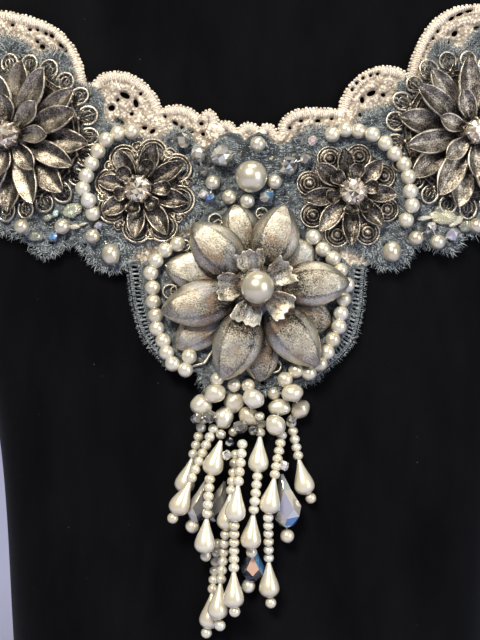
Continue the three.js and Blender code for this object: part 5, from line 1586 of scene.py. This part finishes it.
centreFlower = {
    "place": (2.1, 9.3),
    "stoneHeight": 17,
    "hub": [(8.2, 0.2), (8.4, 3.0), (8.0, 6.0), (6.6, 7.8), (5.0, 9.0), (3.6, 9.25)],
    "broad": leafForm(
        6.4, 13.2, (0.14, 0.45, 0.7), [5.6, 5.9, 6.2, 6.2, 6, 5.5], 2.6, bevelled, 0.9, (30, 23)
    ),
    "lower": leafForm(
        6.5, 11, (0.2, 0.55, 0.62), [2, 2, 2.1, 2.2, 2.1, 1.8], 1.5, bevelled, 0.8, (22, 23)
    ),
    "crown": {"inner": 3.6, "outer": 10.6, "width": 8.2, "height": 8.5, "thickness": 0.75},
    "rings": [
        (-11.6, 19.2, 1.9), (-24.1, -0.8, 2.0), (1.4, 21.2, 1.6), (4.9, -21.8, 1.8), (-20.1, 12.2, 1.5),
    ],
    "stalk": [(-12, -17), (-14.5, -21), (-17.5, -21.8), (-20, -22.2)],
}  # fmt: skip
broadLeaves = [  # turn, reach, width, bend
    (134, 25.3, 13.2, 0.3), (72, 24.6, 13.0, -0.4), (4, 25.2, 12.6, 0.2), (-53, 27.2, 13.0, -0.3),
    (-110, 27.3, 13.2, 0.2), (-166, 26.8, 13.0, 0.4),
]  # fmt: skip
lowerLeaves = [  # turn, reach, how bright
    (105, 24.6, 0.05), (165, 26.3, 0.15), (217, 28, 0), (272, 26.3, -0.25), (333, 22.8, -0.3),
    (40, 19.8, 0.2),
]  # fmt: skip
crownTurns = [104, 33, -38, -110, 178]


# One ragged petal of the crown: it spreads and rises to an uneven edge.
def addCrownPetal(shape, sheet, turn):
    rows, columns = 18, 19
    crown = centreFlower["crown"]
    a, b, c, d = [rng.uniform(0, 6.28) for _ in range(4)]  # where its waves start
    t, x = grid(np.linspace(0, 1, rows), np.linspace(-1, 1, columns))
    fan = crown["width"] / 2 * (0.42 + 0.58 * np.sin(clamped(t * 1.25) * np.pi / 2))
    ragged = 0.04 * np.sin(9 * t + a) * clamped(t * 2) + 0.02 * np.sin(21 * t + b)
    reach = crown["outer"] - 0.7 * x**2 + 0.34 * np.sin(6 * x + c) + 0.3 * np.sin(13 * x + d)
    radius = crown["inner"] + (reach - crown["inner"]) * t
    side = fan * (1 + ragged) * x
    high = crown["height"] + 1.2 * t**1.5 + 1.3 * (x**2) * (0.35 + 0.65 * t) + 0.12 * np.sin(4 * x + b) * t
    high = high + 0.14 * np.sin(9 * t + a) + 0.22 * np.sin(13 * x + d) * t**3 + 0.6 * clamped(t - 0.8)
    ripple = 0.14 * np.sin(13 * x + d) + 0.1 * np.sin(9 * t + a)
    # rubbed bright at the outer edge, with painted shade towards the inner end
    wornAndShaded = 0.44 + 0.6 * clamped(t - 0.7) + 0.15 * np.abs(x) - 0.5 * bell(t, 0, 0.45) + ripple
    s, v = turned(radius, side, turn)
    top, low = onFlower(sheet, s, v, high), onFlower(sheet, s, v, high - crown["thickness"])
    addSlab(shape, top, low, wear=clamped(wornAndShaded), along=radius, across=side)


def makeCentreFlower():
    sheet = flowerSheet(*centreFlower["place"], centreFlower["stoneHeight"], 31)
    shape = Shape()

    # bright bevelled edges; painted shade at each leaf's foot under the crown; on the broad leaves one side
    # painted lighter, as if lit from that side
    def leafWearAndShade(t, x):
        edge = clamped((np.abs(x) - 0.56) / 0.16)
        line, inner = bell(np.abs(x), 0.6, 0.07), bell(t, 0, shaded)
        return 0.58 + 0.32 * edge - 0.2 * line - 0.85 * inner + 0.1 * t - 0.1 * side * x + patchy

    low, broad = centreFlower["lower"], centreFlower["broad"]
    shaded, side = 0.5, 0
    for angle, outer, patchy in lowerLeaves:
        bend, lean = rng.uniform(-0.4, 0.4), rng.uniform(-0.03, 0.03)
        addLeaf(shape, sheet, low, angle, outer, low["width"], leafWearAndShade, bend, lean)
    shaded, side = 0.37, 1
    for angle, outer, width, bend in broadLeaves:
        patchy = rng.uniform(-0.06, 0.06)
        addLeaf(shape, sheet, broad, angle, outer, width, leafWearAndShade, bend, rng.uniform(-0.03, 0.03))
    # the hub is kept dark: painted shade under the crown
    addBoss(shape, sheet, (0, 0), 0, centreFlower["hub"], 0.08, 36)
    for turn in crownTurns:
        addCrownPetal(shape, sheet, turn)
    for s, t, size in centreFlower["rings"]:
        addWire(shape, sheet, arcLine((s, t), size, 0, 360, 17), 0.9, 0.32, 0.8)
        addWire(shape, sheet, arcLine((s * 0.93, t * 0.93), size * 0.8, 0, 360, 13), 0.8, 0.26, 0.6)
        addWire(shape, sheet, [(s * 0.6, t * 0.6), (s, t)], 0.7, 0.3, 0.5)
    addWire(shape, sheet, centreFlower["stalk"], 0.9, 0.4, 0.9)
    makePiece("broad_flower", shape, champagneSilver, ["centre_flower"])


makeCentreFlower()
print("centre flower ready")

largePearl = {"diameter": 9.0, "top": (0.3, 41)}
# what a bead can lie on: each lace with its top, each flower's disc with its middle, radius and top
supports = [(outline, overlayTop) for outline in (panelOutline, blueLeft, blueRight)]
supports.append((ivoryOutline, laceBack + laceWall))
discs = []
for place in largePlaces.values():
    foot = footBelow(*place, largeFlower["stoneHeight"])[0]
    discs.append((*toSheet(foot), 24.4, flowerBack + 1.4))
for data in (smallLeft, smallRight):
    foot = footBelow(*data["place"], smallFlower["stoneHeight"])[0]
    discs.append((*toSheet(foot), 13.7, flowerBack + 1.0))
# the balls that stand for a bead as it rests: share of its half length, share of its radius
restBalls = {
    "round": [(0, 1)],
    "drop": [(-0.55, 0.5), (-0.05, 0.82), (0.4, 1)],
    "briolette": [(-0.5, 0.65), (0.15, 1), (0.7, 0.7)],
}
beadForms = {
    "drop": [
        (-1.0, 0.14), (-0.93, 0.2), (-0.75, 0.29), (-0.5, 0.43), (-0.25, 0.59), (-0.02, 0.76), (0.18, 0.88),
        (0.36, 0.96), (0.52, 0.98), (0.66, 0.93), (0.79, 0.8), (0.9, 0.58), (0.97, 0.32), (1.0, 0.16),
    ],
    "bicone": [(-1, 0.24), (-0.5, 0.78), (0.1, 1), (0.6, 0.74), (1, 0.24)],
    "briolette": [(-1.0, 0.12), (-0.42, 0.54), (0.28, 1.0), (0.62, 0.9), (0.92, 0.5), (1.0, 0.22)],
}  # fmt: skip
laid = []


def groundUnder(u, v, radius):
    around = [polar(radius, angle) for angle in range(0, 360, 60)]
    feet = [(u, v), *((u + du, v + dv) for du, dv in around)]
    tops = [top for outline, top in supports if any(isInside(outline, x, y) for x, y in feet)]
    tops += [top for x, y, reach, top in discs if math.hypot(u - x, v - y) < reach + radius]
    return max([velvetNap, *tops])


def ballsOf(bead):
    balls = []
    for share, part in restBalls[bead["form"]]:
        u, v = (bead[key] + step * share * bead["half"] for key, step in zip("uv", bead["axis"]))
        balls.append({"u": u, "v": v, "radius": part * bead["radius"]})
    return balls


def restHeight(bead):
    height = 0
    for ball in ballsOf(bead):
        rest = groundUnder(ball["u"], ball["v"], ball["radius"] * 0.7) + pieceGap / 2 + ball["radius"]
        for other in laid:
            reach = ball["radius"] + other["radius"] + beadGap
            apart = math.hypot(ball["u"] - other["u"], ball["v"] - other["v"])
            if apart < reach:
                rest = max(rest, other["w"] + math.sqrt(reach**2 - apart**2))
        height = max(height, rest)
    return height


# Beads of one thread are laid together; a taut thread climbs to a bead that lies high.
def layThread(beads, slope=None):
    for k, bead in enumerate(beads):
        before, after = beads[max(k - 1, 0)], beads[min(k + 1, len(beads) - 1)]
        if "axis" not in bead:
            du, dv = after["u"] - before["u"], after["v"] - before["v"]
            long = math.hypot(du, dv) or 1
            bead["axis"] = (du / long, dv / long) if long > 0.01 else (0, -1)
        bead["rest"] = restHeight(bead)
    for bead in beads:
        climbs = [bead["rest"]]
        for other in beads:
            if other is not bead and slope is not None:
                apart = math.hypot(other["u"] - bead["u"], other["v"] - bead["v"])
                free = max(apart - other["half"] - bead["half"], 0)
                climbs.append(other["rest"] - slope * (free + seedDiameter / 2))
        bead["w"] = max(climbs)
    for bead in beads:
        laid.extend({**ball, "w": bead["w"]} for ball in ballsOf(bead))


def bead(u, v, size, kind="pearl", lie=None, length=None, **more):
    if lie:
        more["lie"] = lie
    half = (length or size) / 2
    return {"u": u, "v": v, "radius": size / 2, "half": half, "form": "round", "kind": kind, **more}


def pointAt(item):
    return pointAbove(item["u"], item["v"], item["w"])


def addPearl(shape, middle, axis, half, radius, tint, sides, rings, bumps=0.0):
    points, faces = lathe(middle, axis, sheetOut + (0.1, 0, 0), ballProfile(half, radius, rings), sides)
    if bumps:
        offset = points - middle
        wave = np.sin(offset @ np.array([1.3, 0.7, 1.1]) + tint * 40)
        wave = wave + np.sin(offset @ np.array([-0.8, 1.5, 0.4]) * 1.3 + tint * 90)
        points = middle + offset * (1 + bumps * wave)[:, None]
    shape.add(points, faces, tint=tint)


# Faceted bead with rings of unequal twist, each facet with its own corners.
def addCut(shape, middle, axis, half, radius, profile, sides, kind):
    axis = unit(np.asarray(axis, float))
    across = unit(np.cross(axis, sheetOut))
    up = np.cross(across, axis)
    rings = []
    for k, (along, share) in enumerate(profile):
        turn = ((np.arange(sides) + 0.5 * (k % 2)) * 2 * np.pi / sides)[:, None]
        out = np.cos(turn) * across + np.sin(turn) * up
        rings.append(middle + axis * along * half + share * radius * out)
    points = np.concatenate(rings)
    faces = [list(range(sides))[::-1], [(len(profile) - 1) * sides + j for j in range(sides)]]
    for row in range(len(profile) - 1):
        a, b = row * sides, (row + 1) * sides
        for j in range(sides):
            k = (j + 1) % sides
            if row % 2:
                faces += [[a + j, b + k, b + j], [a + j, a + k, b + k]]
            else:
                faces += [[a + j, a + k, b + j], [a + k, b + k, b + j]]
    for face in faces:
        if kind in paintedReflectionTones:
            one, two, three = points[face[:3]]
            normal = np.cross(two - one, three - one)
            tone = paintedReflectionTone(kind, normal / (np.linalg.norm(normal) + 1e-9))
            addFacets(shape, points, [face], tone, 0.02)
        else:
            addFacets(shape, points, [face], rng.choice(crystalTones[kind]), 0.03)


# painted reflections: a long drop's facet takes a tone by the way it faces: front, lower left, lower right,
# left, right
paintedReflectionTones = {
    "navyDrop": (0.86, 0.03, 0.02, 0.04, 0.5),
    "steelDrop": (0.68, 0.33, 0.48, 0.25, 0.6),
    "greyDrop": (0.24, 0.3, 0.04, 0.34, 0.22),
}


def paintedReflectionTone(kind, normal):
    front, lowLeft, lowRight, left, right = paintedReflectionTones[kind]
    normal = normal if normal @ sheetOut > 0 else -normal
    if normal @ sheetOut > 0.9:
        return front
    if normal @ sheetUp < -0.3:
        return lowLeft if normal[0] < 0 else lowRight
    return left if normal[0] < 0 else right


# places on the crystal's colour scale that the facets of a cut bead take by chance: partly the coat's own
# colours, partly painted reflections
crystalTones = {
    "clear": [0.24, 0.3, 0.36, 0.36, 0.6, 1.0],
    "aurora": [0.36, 0.6, 0.7, 0.72, 0.76, 0.96],
    "blush": [0.9, 0.94, 0.6, 0.8],
    "blue": [0.36, 0.24, 0.48, 0.49, 0.6],
    "teal": [0.54, 0.53, 0.72, 0.7],
    "brown": [0.08, 0.12, 0.6],
    "cream": [0.36, 0.6, 0.62, 1.0],
    "ice": [0.22, 0.26, 0.3, 0.36, 0.36, 0.6],
    "ribbed": [0.14, 0.2, 0.26, 0.34, 0.36, 0.6],
    "smoke": [0.18, 0.22, 0.26, 0.3, 0.36, 0.36],
    "glass": [0.14, 0.18, 0.24, 0.24, 0.28, 0.34],
}


def lieAxis(item, middles, k):
    if item["form"] == "round" and len(middles) > 1 and item["half"] <= item["radius"] * 1.05:
        return middles[min(k + 1, len(middles) - 1)] - middles[max(k - 1, 0)]
    du, dv = item.get("lie", item["axis"])
    ahead = pointAbove(item["u"] + du, item["v"] + dv, item["w"])
    return ahead - pointAbove(item["u"] - du, item["v"] - dv, item["w"])


# a seed is drawn a little larger than it is laid
seed = {"below": 1.45, "radius": 1.5, "stretch": 1.12, "half": 1.42}


def addBead(pearls, cuts, item, middle, axis):
    kind, form, half, radius = item["kind"], item["form"], item["half"], item["radius"]
    tint = rng.uniform(0, 0.35)
    if form == "round" and radius < seed["below"]:
        radius, half = seed["radius"], min(half * seed["stretch"], seed["half"])
    if kind in crystalTones or kind in paintedReflectionTones:
        profile = beadForms["briolette" if form == "briolette" else "bicone"]
        addCut(cuts, middle, axis, half, radius, profile, 12 if kind == "ribbed" else 6, kind)
    elif form == "drop":
        profile = [(share * half, part * radius) for share, part in beadForms["drop"]]
        pearls.add(*lathe(middle, axis, sheetOut, profile, 18), tint=tint)
    else:
        sides, rings = (14, 9) if radius < 1.7 else (20, 12)
        bumps = 0.035 if kind == "potato" else 0.0
        addPearl(pearls, middle, axis, half, radius, tint, sides, rings, bumps)


# One piece for pearls and one for cut beads, with the thread that carries them.
def makeStretch(name, beads, nodes, nacre=pearlNacre, thread=True, lay=True):
    if lay:
        layThread(beads)
    pearls, cuts = Shape(), Shape()
    middles = [pointAt(item) for item in beads]
    for k, item in enumerate(beads):
        addBead(pearls, cuts, item, middles[k], lieAxis(item, middles, k))
    if thread and len(beads) > 1:
        line = [middles[0]]
        for one, two, middle in zip(beads, beads[1:], middles[1:]):
            apart = math.hypot(one["u"] - two["u"], one["v"] - two["v"]) - one["half"] - two["half"]
            if apart > 1 and lay:  # a long step of the thread lies on the lace
                for share in (0.3, 0.5, 0.7):
                    u, v = (one[key] + (two[key] - one[key]) * share for key in "uv")
                    line.append(pointAbove(u, v, overlayBack + 0.5))
            line.append(middle)
        pearls.add(*tube(np.array(line), 0.2, 6), tint=0.5)
    if pearls.count:
        makePiece(name, pearls, nacre, nodes)
    if cuts.count:
        makePiece(name + "_cut", cuts, crystal, () if pearls.count else nodes, smooth=False)


def makeLargePearl(name, u, v, seat, node):
    radius = largePearl["diameter"] / 2
    height = seat + pieceGap + radius
    shape = Shape()
    addPearl(shape, pointAbove(u, v, height), (1, 0, 0), radius, radius, 0.12, 40, 28)
    makePiece(name, shape, pearlNacre, [node])
    return height


makeLargePearl("large_pearl_middle", *centreFlower["place"], flowerBack + 9.2, "centre_pearl")
topHeight = makeLargePearl("large_pearl_top", *largePearl["top"], overlayTop, "top_pearl")
topU, topV = largePearl["top"]
laid.append({"u": topU, "v": topV, "w": topHeight, "radius": largePearl["diameter"] / 2})

pearlRows = {
    "pearl_string_left": [
        (-33.8, 53.8), (-37.8, 53.3), (-41.2, 51.5), (-43.5, 48.3), (-45.3, 44.7), (-46.8, 41.2),
        (-47.8, 37.6), (-46.2, 34.2), (-44.9, 30.5),
    ],
    "pearl_string_right": [
        (23.5, 53), (27.2, 54.4), (31, 54), (35, 53), (38.6, 50.5), (41.3, 47.5), (44, 44.5), (45.2, 41),
        (45.8, 36.8), (46.3, 32.8), (44.6, 28.6),
    ],
    "panel_pearls_left": [
        (-20.7, 21.7), (-24.3, 20), (-26.9, 17), (-28.4, 13.4), (-27.9, 9.2), (-27.7, 5.2), (-27, 1.3),
        (-26.7, -2.4), (-24.9, -5.9), (-23.9, -9.3), (-22.2, -12.5), (-18.5, -14.2), (-17.4, -10.4),
    ],
    "panel_pearls_right": [
        (18, 23.7), (20.8, 20.2), (23.7, 17.6), (25.8, 14.2), (27.7, 10), (26.7, 6), (26, 1.9),
        (25.4, -1.9), (23.6, -5.6), (22, -9.2), (20, -12.5), (16.8, -15.1), (13.1, -14.4), (10, -17),
    ],
}  # fmt: skip
stringFill = 1.08  # the pearls press on each other
for name, row in pearlRows.items():
    pearls = [bead(u, v, pearlDiameter * stringFill) for u, v in row]
    makeStretch("beads_" + name, pearls, [name], stringNacre)
print("pearl strings ready")

# u, v, diameter, kind, the way it lies, length
looseBeads = {
    "top_beads_lower": [
        (-19.7, 51.3, 5, "smoke"), (-14.9, 47.3, 4.6, "ice"), (-13.5, 42.8, 3.4, "glass"),
        (-13.4, 35.9, 2.2, "cream", (1, 0.1), 3), (-11.5, 35, 2.8, "blue"), (-10.7, 39.3, 4.2),
        (-6, 35.2, 4.2), (-0.8, 34, 4.2), (4.7, 35.5, 4.4, "blue"), (7, 39.5, 4.2),
        (10.8, 44.1, 5.6, "ribbed", (-0.3, 1)), (15.8, 46.2, 3.6, "glass"), (17.8, 51.2, 3, "blush"),
    ],
    "top_beads_upper": [(-8, 46.9, 6.4, "ribbed", (-0.4, 1)), (2.2, 50.3, 4.4)],
    "edge_beads_left": [
        (-65.3, 26.7, 4.4), (-63.6, 25.4, 1.6, "aurora"), (-56.4, 23.9, 3, "teal"), (-53.7, 26.7, 4.5),
        (-45, 24, 4.2), (-43.4, 27, 2, "aurora"), (-39.8, 18.7, 5.2, "potato", (0.1, 1), 6),
    ],
    "edge_beads_right": [
        (40.5, 19.5, 5.2, "potato", (0.1, 1), 6), (47.4, 23.4, 4.3), (50.4, 25.7, 2.8, "glass"),
        (51.9, 26.8, 2.2, "cream", (0.8, -0.6), 3.6), (53.6, 22.3, 4.4), (57.8, 24.3, 3.8, "aurora"),
        (64.8, 27, 4.5),
    ],
}  # fmt: skip
for node, rows in looseBeads.items():
    place, _, side = node.split("_")
    makeStretch(f"beads_{place}_{side}", [bead(*row) for row in rows], [node])

# flat chips of shell and clear quartz sewn among the lower pearls: u, v, length, width, turn, tone
shellChips = [
    (-50.6, 31.2, 5.6, 4.2, 25, 0.25), (-48.9, 31.6, 3, 2.6, 60, 0.42), (-57.3, 29.2, 2.8, 2, 10, 0.15),
    (-55, 30.4, 1.7, 2.3, -20, 1), (-49.8, 26.6, 3.6, 1.5, 5, 0.75), (-47.4, 27.3, 2.8, 1, 20, 0.75),
    (-60.8, 23.9, 4.4, 2.8, -12, 0.12), (54.8, 29.4, 8.4, 4.4, -8, 0.5), (53.8, 31.1, 3.2, 3, 40, 0.05),
    (58.2, 28.2, 4.6, 2.6, 32, 0.8), (49.2, 29, 4.4, 1.4, 5, 0.75), (61.1, 26.8, 4.4, 3.2, 10, 0.12),
]  # fmt: skip


def makeChips():
    shape = Shape()
    count, rings = 11, [(0.9, 0), (1, 0.4), (0.84, 0.85), (0.45, 1.05)]  # share of the width, height
    for u, v, long, wide, turn, tone in shellChips:
        around = np.arange(count) * 2 * np.pi / count
        ragged = 1 + 0.14 * np.array([rng.uniform(-1, 1) for _ in range(count)])
        a, b = long / 2 * np.cos(around) * ragged, wide / 2 * np.sin(around) * ragged
        x, y = turned(a, b, turn)
        base = overlayTop + 0.5 + 0.4 * rng.random()
        points = [
            yarnSheet.place(u + share * x, v + share * y, base + high + 0.08 * a)
            for share, high in rings
        ]
        points.append(np.array([points[0].mean(0), points[-1].mean(0)]))
        along = np.concatenate([np.tile(np.hypot(a - long / 2, b), len(rings)), [long / 2, long / 2]])
        shape.add(np.concatenate(points), skinFaces(len(rings), count), facet=tone, along=along)
    makePiece("shell_chips", shape, shell, ())


makeChips()
print("loose beads ready")


stationForms = {
    "drop": {"size": 6, "length": 10.2, "form": "drop"},
    "greyDrop": {"size": 6.6, "length": 12, "form": "briolette", "kind": "greyDrop"},
    "navyDrop": {"size": 7, "length": 11, "form": "briolette", "kind": "navyDrop"},
    "largeDrop": {"size": 8.8, "length": 15, "form": "briolette", "kind": "steelDrop"},
    "pearl": {"size": 4, "length": 4, "form": "round"},
    "end": {"size": 3.2, "length": 3.2, "form": "round"},
}
strands = [  # from the rearmost to the foremost
    ("strand_4", (-7.2, -46), [("greyDrop", -9, -51.8)]),
    ("strand_5", (-12.7, -45.8), [("greyDrop", -14.3, -51.9), ("pearl", -16.5, -58.9)]),
    ("strand_9", (0.7, -63.5), [("navyDrop", 0.7, -69.2), ("pearl", -0.5, -76)]),
    ("strand_12", (8.9, -43.8), [("largeDrop", 9.9, -51.6), ("pearl", 10.6, -61.7)]),
    ("strand_7", (-9.2, -62.6), [("drop", -11.4, -83.2), ("end", -12.5, -89.4)]),
    ("strand_6", (-4, -37.2), [("drop", -6.3, -55), ("drop", -9, -80.4), ("end", -8.6, -87.3)]),
    ("strand_1", (-12.9, -27), [("drop", -18, -44.5)]),
    ("strand_2", (-10, -30), [("drop", -19.3, -50.9), ("end", -22.1, -56.6)]),
    ("strand_13", (11.5, -28.3), [("drop", 15, -44.9), ("end", 17.3, -50.9)]),
    ("strand_3", (-8.2, -34), [("drop", -9.9, -39.4), ("drop", -12.8, -61.6), ("end", -12.7, -67.4)]),
    ("strand_8", (-2.1, -34.2), [("drop", -4, -52.5), ("drop", -4.7, -77.1), ("end", -4.4, -83.3)]),
    ("strand_11", (9.2, -31.8), [("drop", 6, -50.3), ("drop", 5.4, -74.2), ("end", 5.9, -80.8)]),
    ("strand_10", (3.1, -28.6), [("drop", 2.5, -38.5), ("drop", 0.4, -60.4), ("end", 0.4, -66.3)]),
]
threadSlope = 0.45
seedSqueeze = 0.15  # a run this much of a seed too short still holds it
seedPitch = 2.42


# A strand of the tassel: runs of seeds between its drops, each bead where the strand's line takes it.
def makeStrand(name, start, stations):
    stretches, start = [], np.array(start, float)
    for kind, u, v in stations:
        form = dict(stationForms[kind])
        middle = np.array([u, v], float)
        axis = unit(middle - start)
        top = middle - axis * form["length"] / 2
        run = float((top - start) @ axis)
        if math.floor(run / seedDiameter + seedSqueeze) > 0:
            count = max(round(run / seedPitch), 1)
            spots = [start + (top - start) * (k + 0.5) / count for k in range(count)]
            stretches.append(("seeds", [bead(*spot, seedDiameter, length=run / count) for spot in spots]))
        drop = bead(u, v, axis=tuple(axis), **form)
        if stretches and stretches[-1][0] == "drop":
            stretches[-1][1].append(drop)
        else:
            stretches.append(("drop", [drop]))
        start = middle + axis * drop["half"]
    layThread([item for _, items in stretches for item in items], threadSlope)
    drops = 0
    for kind, items in stretches:
        drops += kind == "drop"
        node = f"{name}_{kind}_{drops if kind == 'drop' else drops + 1}"
        makeStretch(node + "_beads", items, [node], dropNacre, lay=False)


for strand in strands:
    makeStrand(*strand)
clusters = {
    "cluster_left": [
        (-9.4, -16.9, 3.9), (-10, -21, 5.4, "potato", (1, 0.1), 6.2),
        (-14, -24.4, 6.0, "potato", (1, 0.3), 6.2), (-7.5, -28, 5.4, "potato", (0.1, 1), 6.5),
        (-4.6, -23.4, 5.6, "potato", (0.5, 1), 6.3), (-4.6, -18.6, 3.9), (-0.6, -18.7, 3.9),
    ],
    "cluster_right": [
        (6.8, -20.9, 3.9), (12, -20.9, 5.0, "potato", (1, 0.1), 6.2),
        (14.3, -25.4, 5.2, "potato", None, 5.8), (8.4, -25.0, 5.0, "potato", (1, 0), 6.6),
        (7.3, -30, 5.6, "potato", (0.6, -0.8), 6.0), (-0.4, -27.6, 5.4, "potato", (0.8, -0.6), 6.2),
        (1, -22.4, 5.4, "potato", (0.8, -0.5), 6.2),
    ],
}  # fmt: skip
for node, rows in clusters.items():
    name = node.replace("cluster", "cluster_beads")
    makeStretch(name, [bead(*row) for row in rows], [node], clusterNacre)
fillers = [
    (-8.4, -32.7, 2.9), (2.7, -27.6, 2.9), (-15.2, -28.2, 3.6, "glass"), (-11.5, -27.8, 3.6, "glass"),
    (-2.8, -30.5, 4.2, "glass"), (0.9, -31.6, 3, "glass"), (-5.9, -34.8, 3, "brown"),
    (-6.7, -38.6, 1.8, "clear", (0.3, 1), 3), (9.7, -41.6, 2, "cream", (-0.4, 1), 3.2), (-4.9, -31.9, 2.7),
    (11.9, -28.4, 2.8, "glass"),
]  # fmt: skip
makeStretch("tassel_fillers", [bead(*row) for row in fillers], [], thread=False)
print("tassel ready")


ground = {"colour": (0.37, 0.39, 0.58), "half": 5}


def floorLook():
    look = Look("floor", Roughness=0.8)
    shade = look.noise(6, 3)
    warm = tuple(0.965 * part for part in ground["colour"])
    tone = look.ramp(shade, [(0.3, warm), (0.7, ground["colour"])])
    return look.give(Base_Color=tone, Normal=look.bump(look.noise(900, 2), 0.05, 0.0002))


def makeStage():
    half = ground["half"]
    corners = [(-half, -half, 0), (half, -half, 0), (half, half, 0), (-half, half, 0)]
    mesh = bpy.data.meshes.new("floor")
    mesh.from_pydata(corners, [], [[0, 1, 2, 3]])
    mesh.materials.append(floorLook())
    floor = bpy.data.objects.new("floor", mesh)
    bpy.context.scene.collection.objects.link(floor)
    floor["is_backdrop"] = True


chest = Vector((0, -0.04, 0.14))
lights = {  # place, size, power, colour
    "key": ((-0.2, -0.62, 0.74), (0.28, 0.22), 9.2, (1, 0.94, 0.83)),
    "fill": ((0.55, -0.5, 0.3), (0.4, 0.5), 2.6, (0.94, 0.96, 1)),
    "top": ((0.05, 0.05, 0.95), (0.5, 0.4), 4, (1, 0.96, 0.9)),
}


def addLight(name, place, size, power, colour):
    data = bpy.data.lights.new(name, "AREA")
    data.shape = "RECTANGLE"
    data.size, data.size_y = size
    data.energy = power
    data.color = colour
    light = bpy.data.objects.new(name, data)
    light.location = place
    light.rotation_euler = (chest - Vector(place)).to_track_quat("-Z", "Y").to_euler()
    bpy.context.scene.collection.objects.link(light)


def makeCamera():
    data = bpy.data.cameras.new("camera")
    data.sensor_fit = "HORIZONTAL"
    data.sensor_width = 36
    data.lens = 105
    data.clip_start, data.clip_end = 0.01, 20
    camera = bpy.data.objects.new("camera", data)
    camera.location = Vector(viewingPoint * millimetre)
    camera.rotation_euler = Vector(-sheetOut).to_track_quat("-Z", "Y").to_euler()
    bpy.context.scene.collection.objects.link(camera)
    bpy.context.scene.camera = camera


makeStage()
makeCamera()
for name, light in lights.items():
    addLight(name, *light)
world = bpy.data.worlds.new("studio")
world.use_nodes = True
backdrop = world.node_tree.nodes["Background"]
backdrop.inputs["Color"].default_value = (0.85, 0.88, 0.95, 1)
backdrop.inputs["Strength"].default_value = 0.2
bpy.context.scene.world = world
bpy.context.scene.view_settings.view_transform = "Standard"
print("stage ready")

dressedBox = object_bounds()
{"cad": [list(corner) for corner in cadBox], "dressed": [list(corner) for corner in dressedBox]}
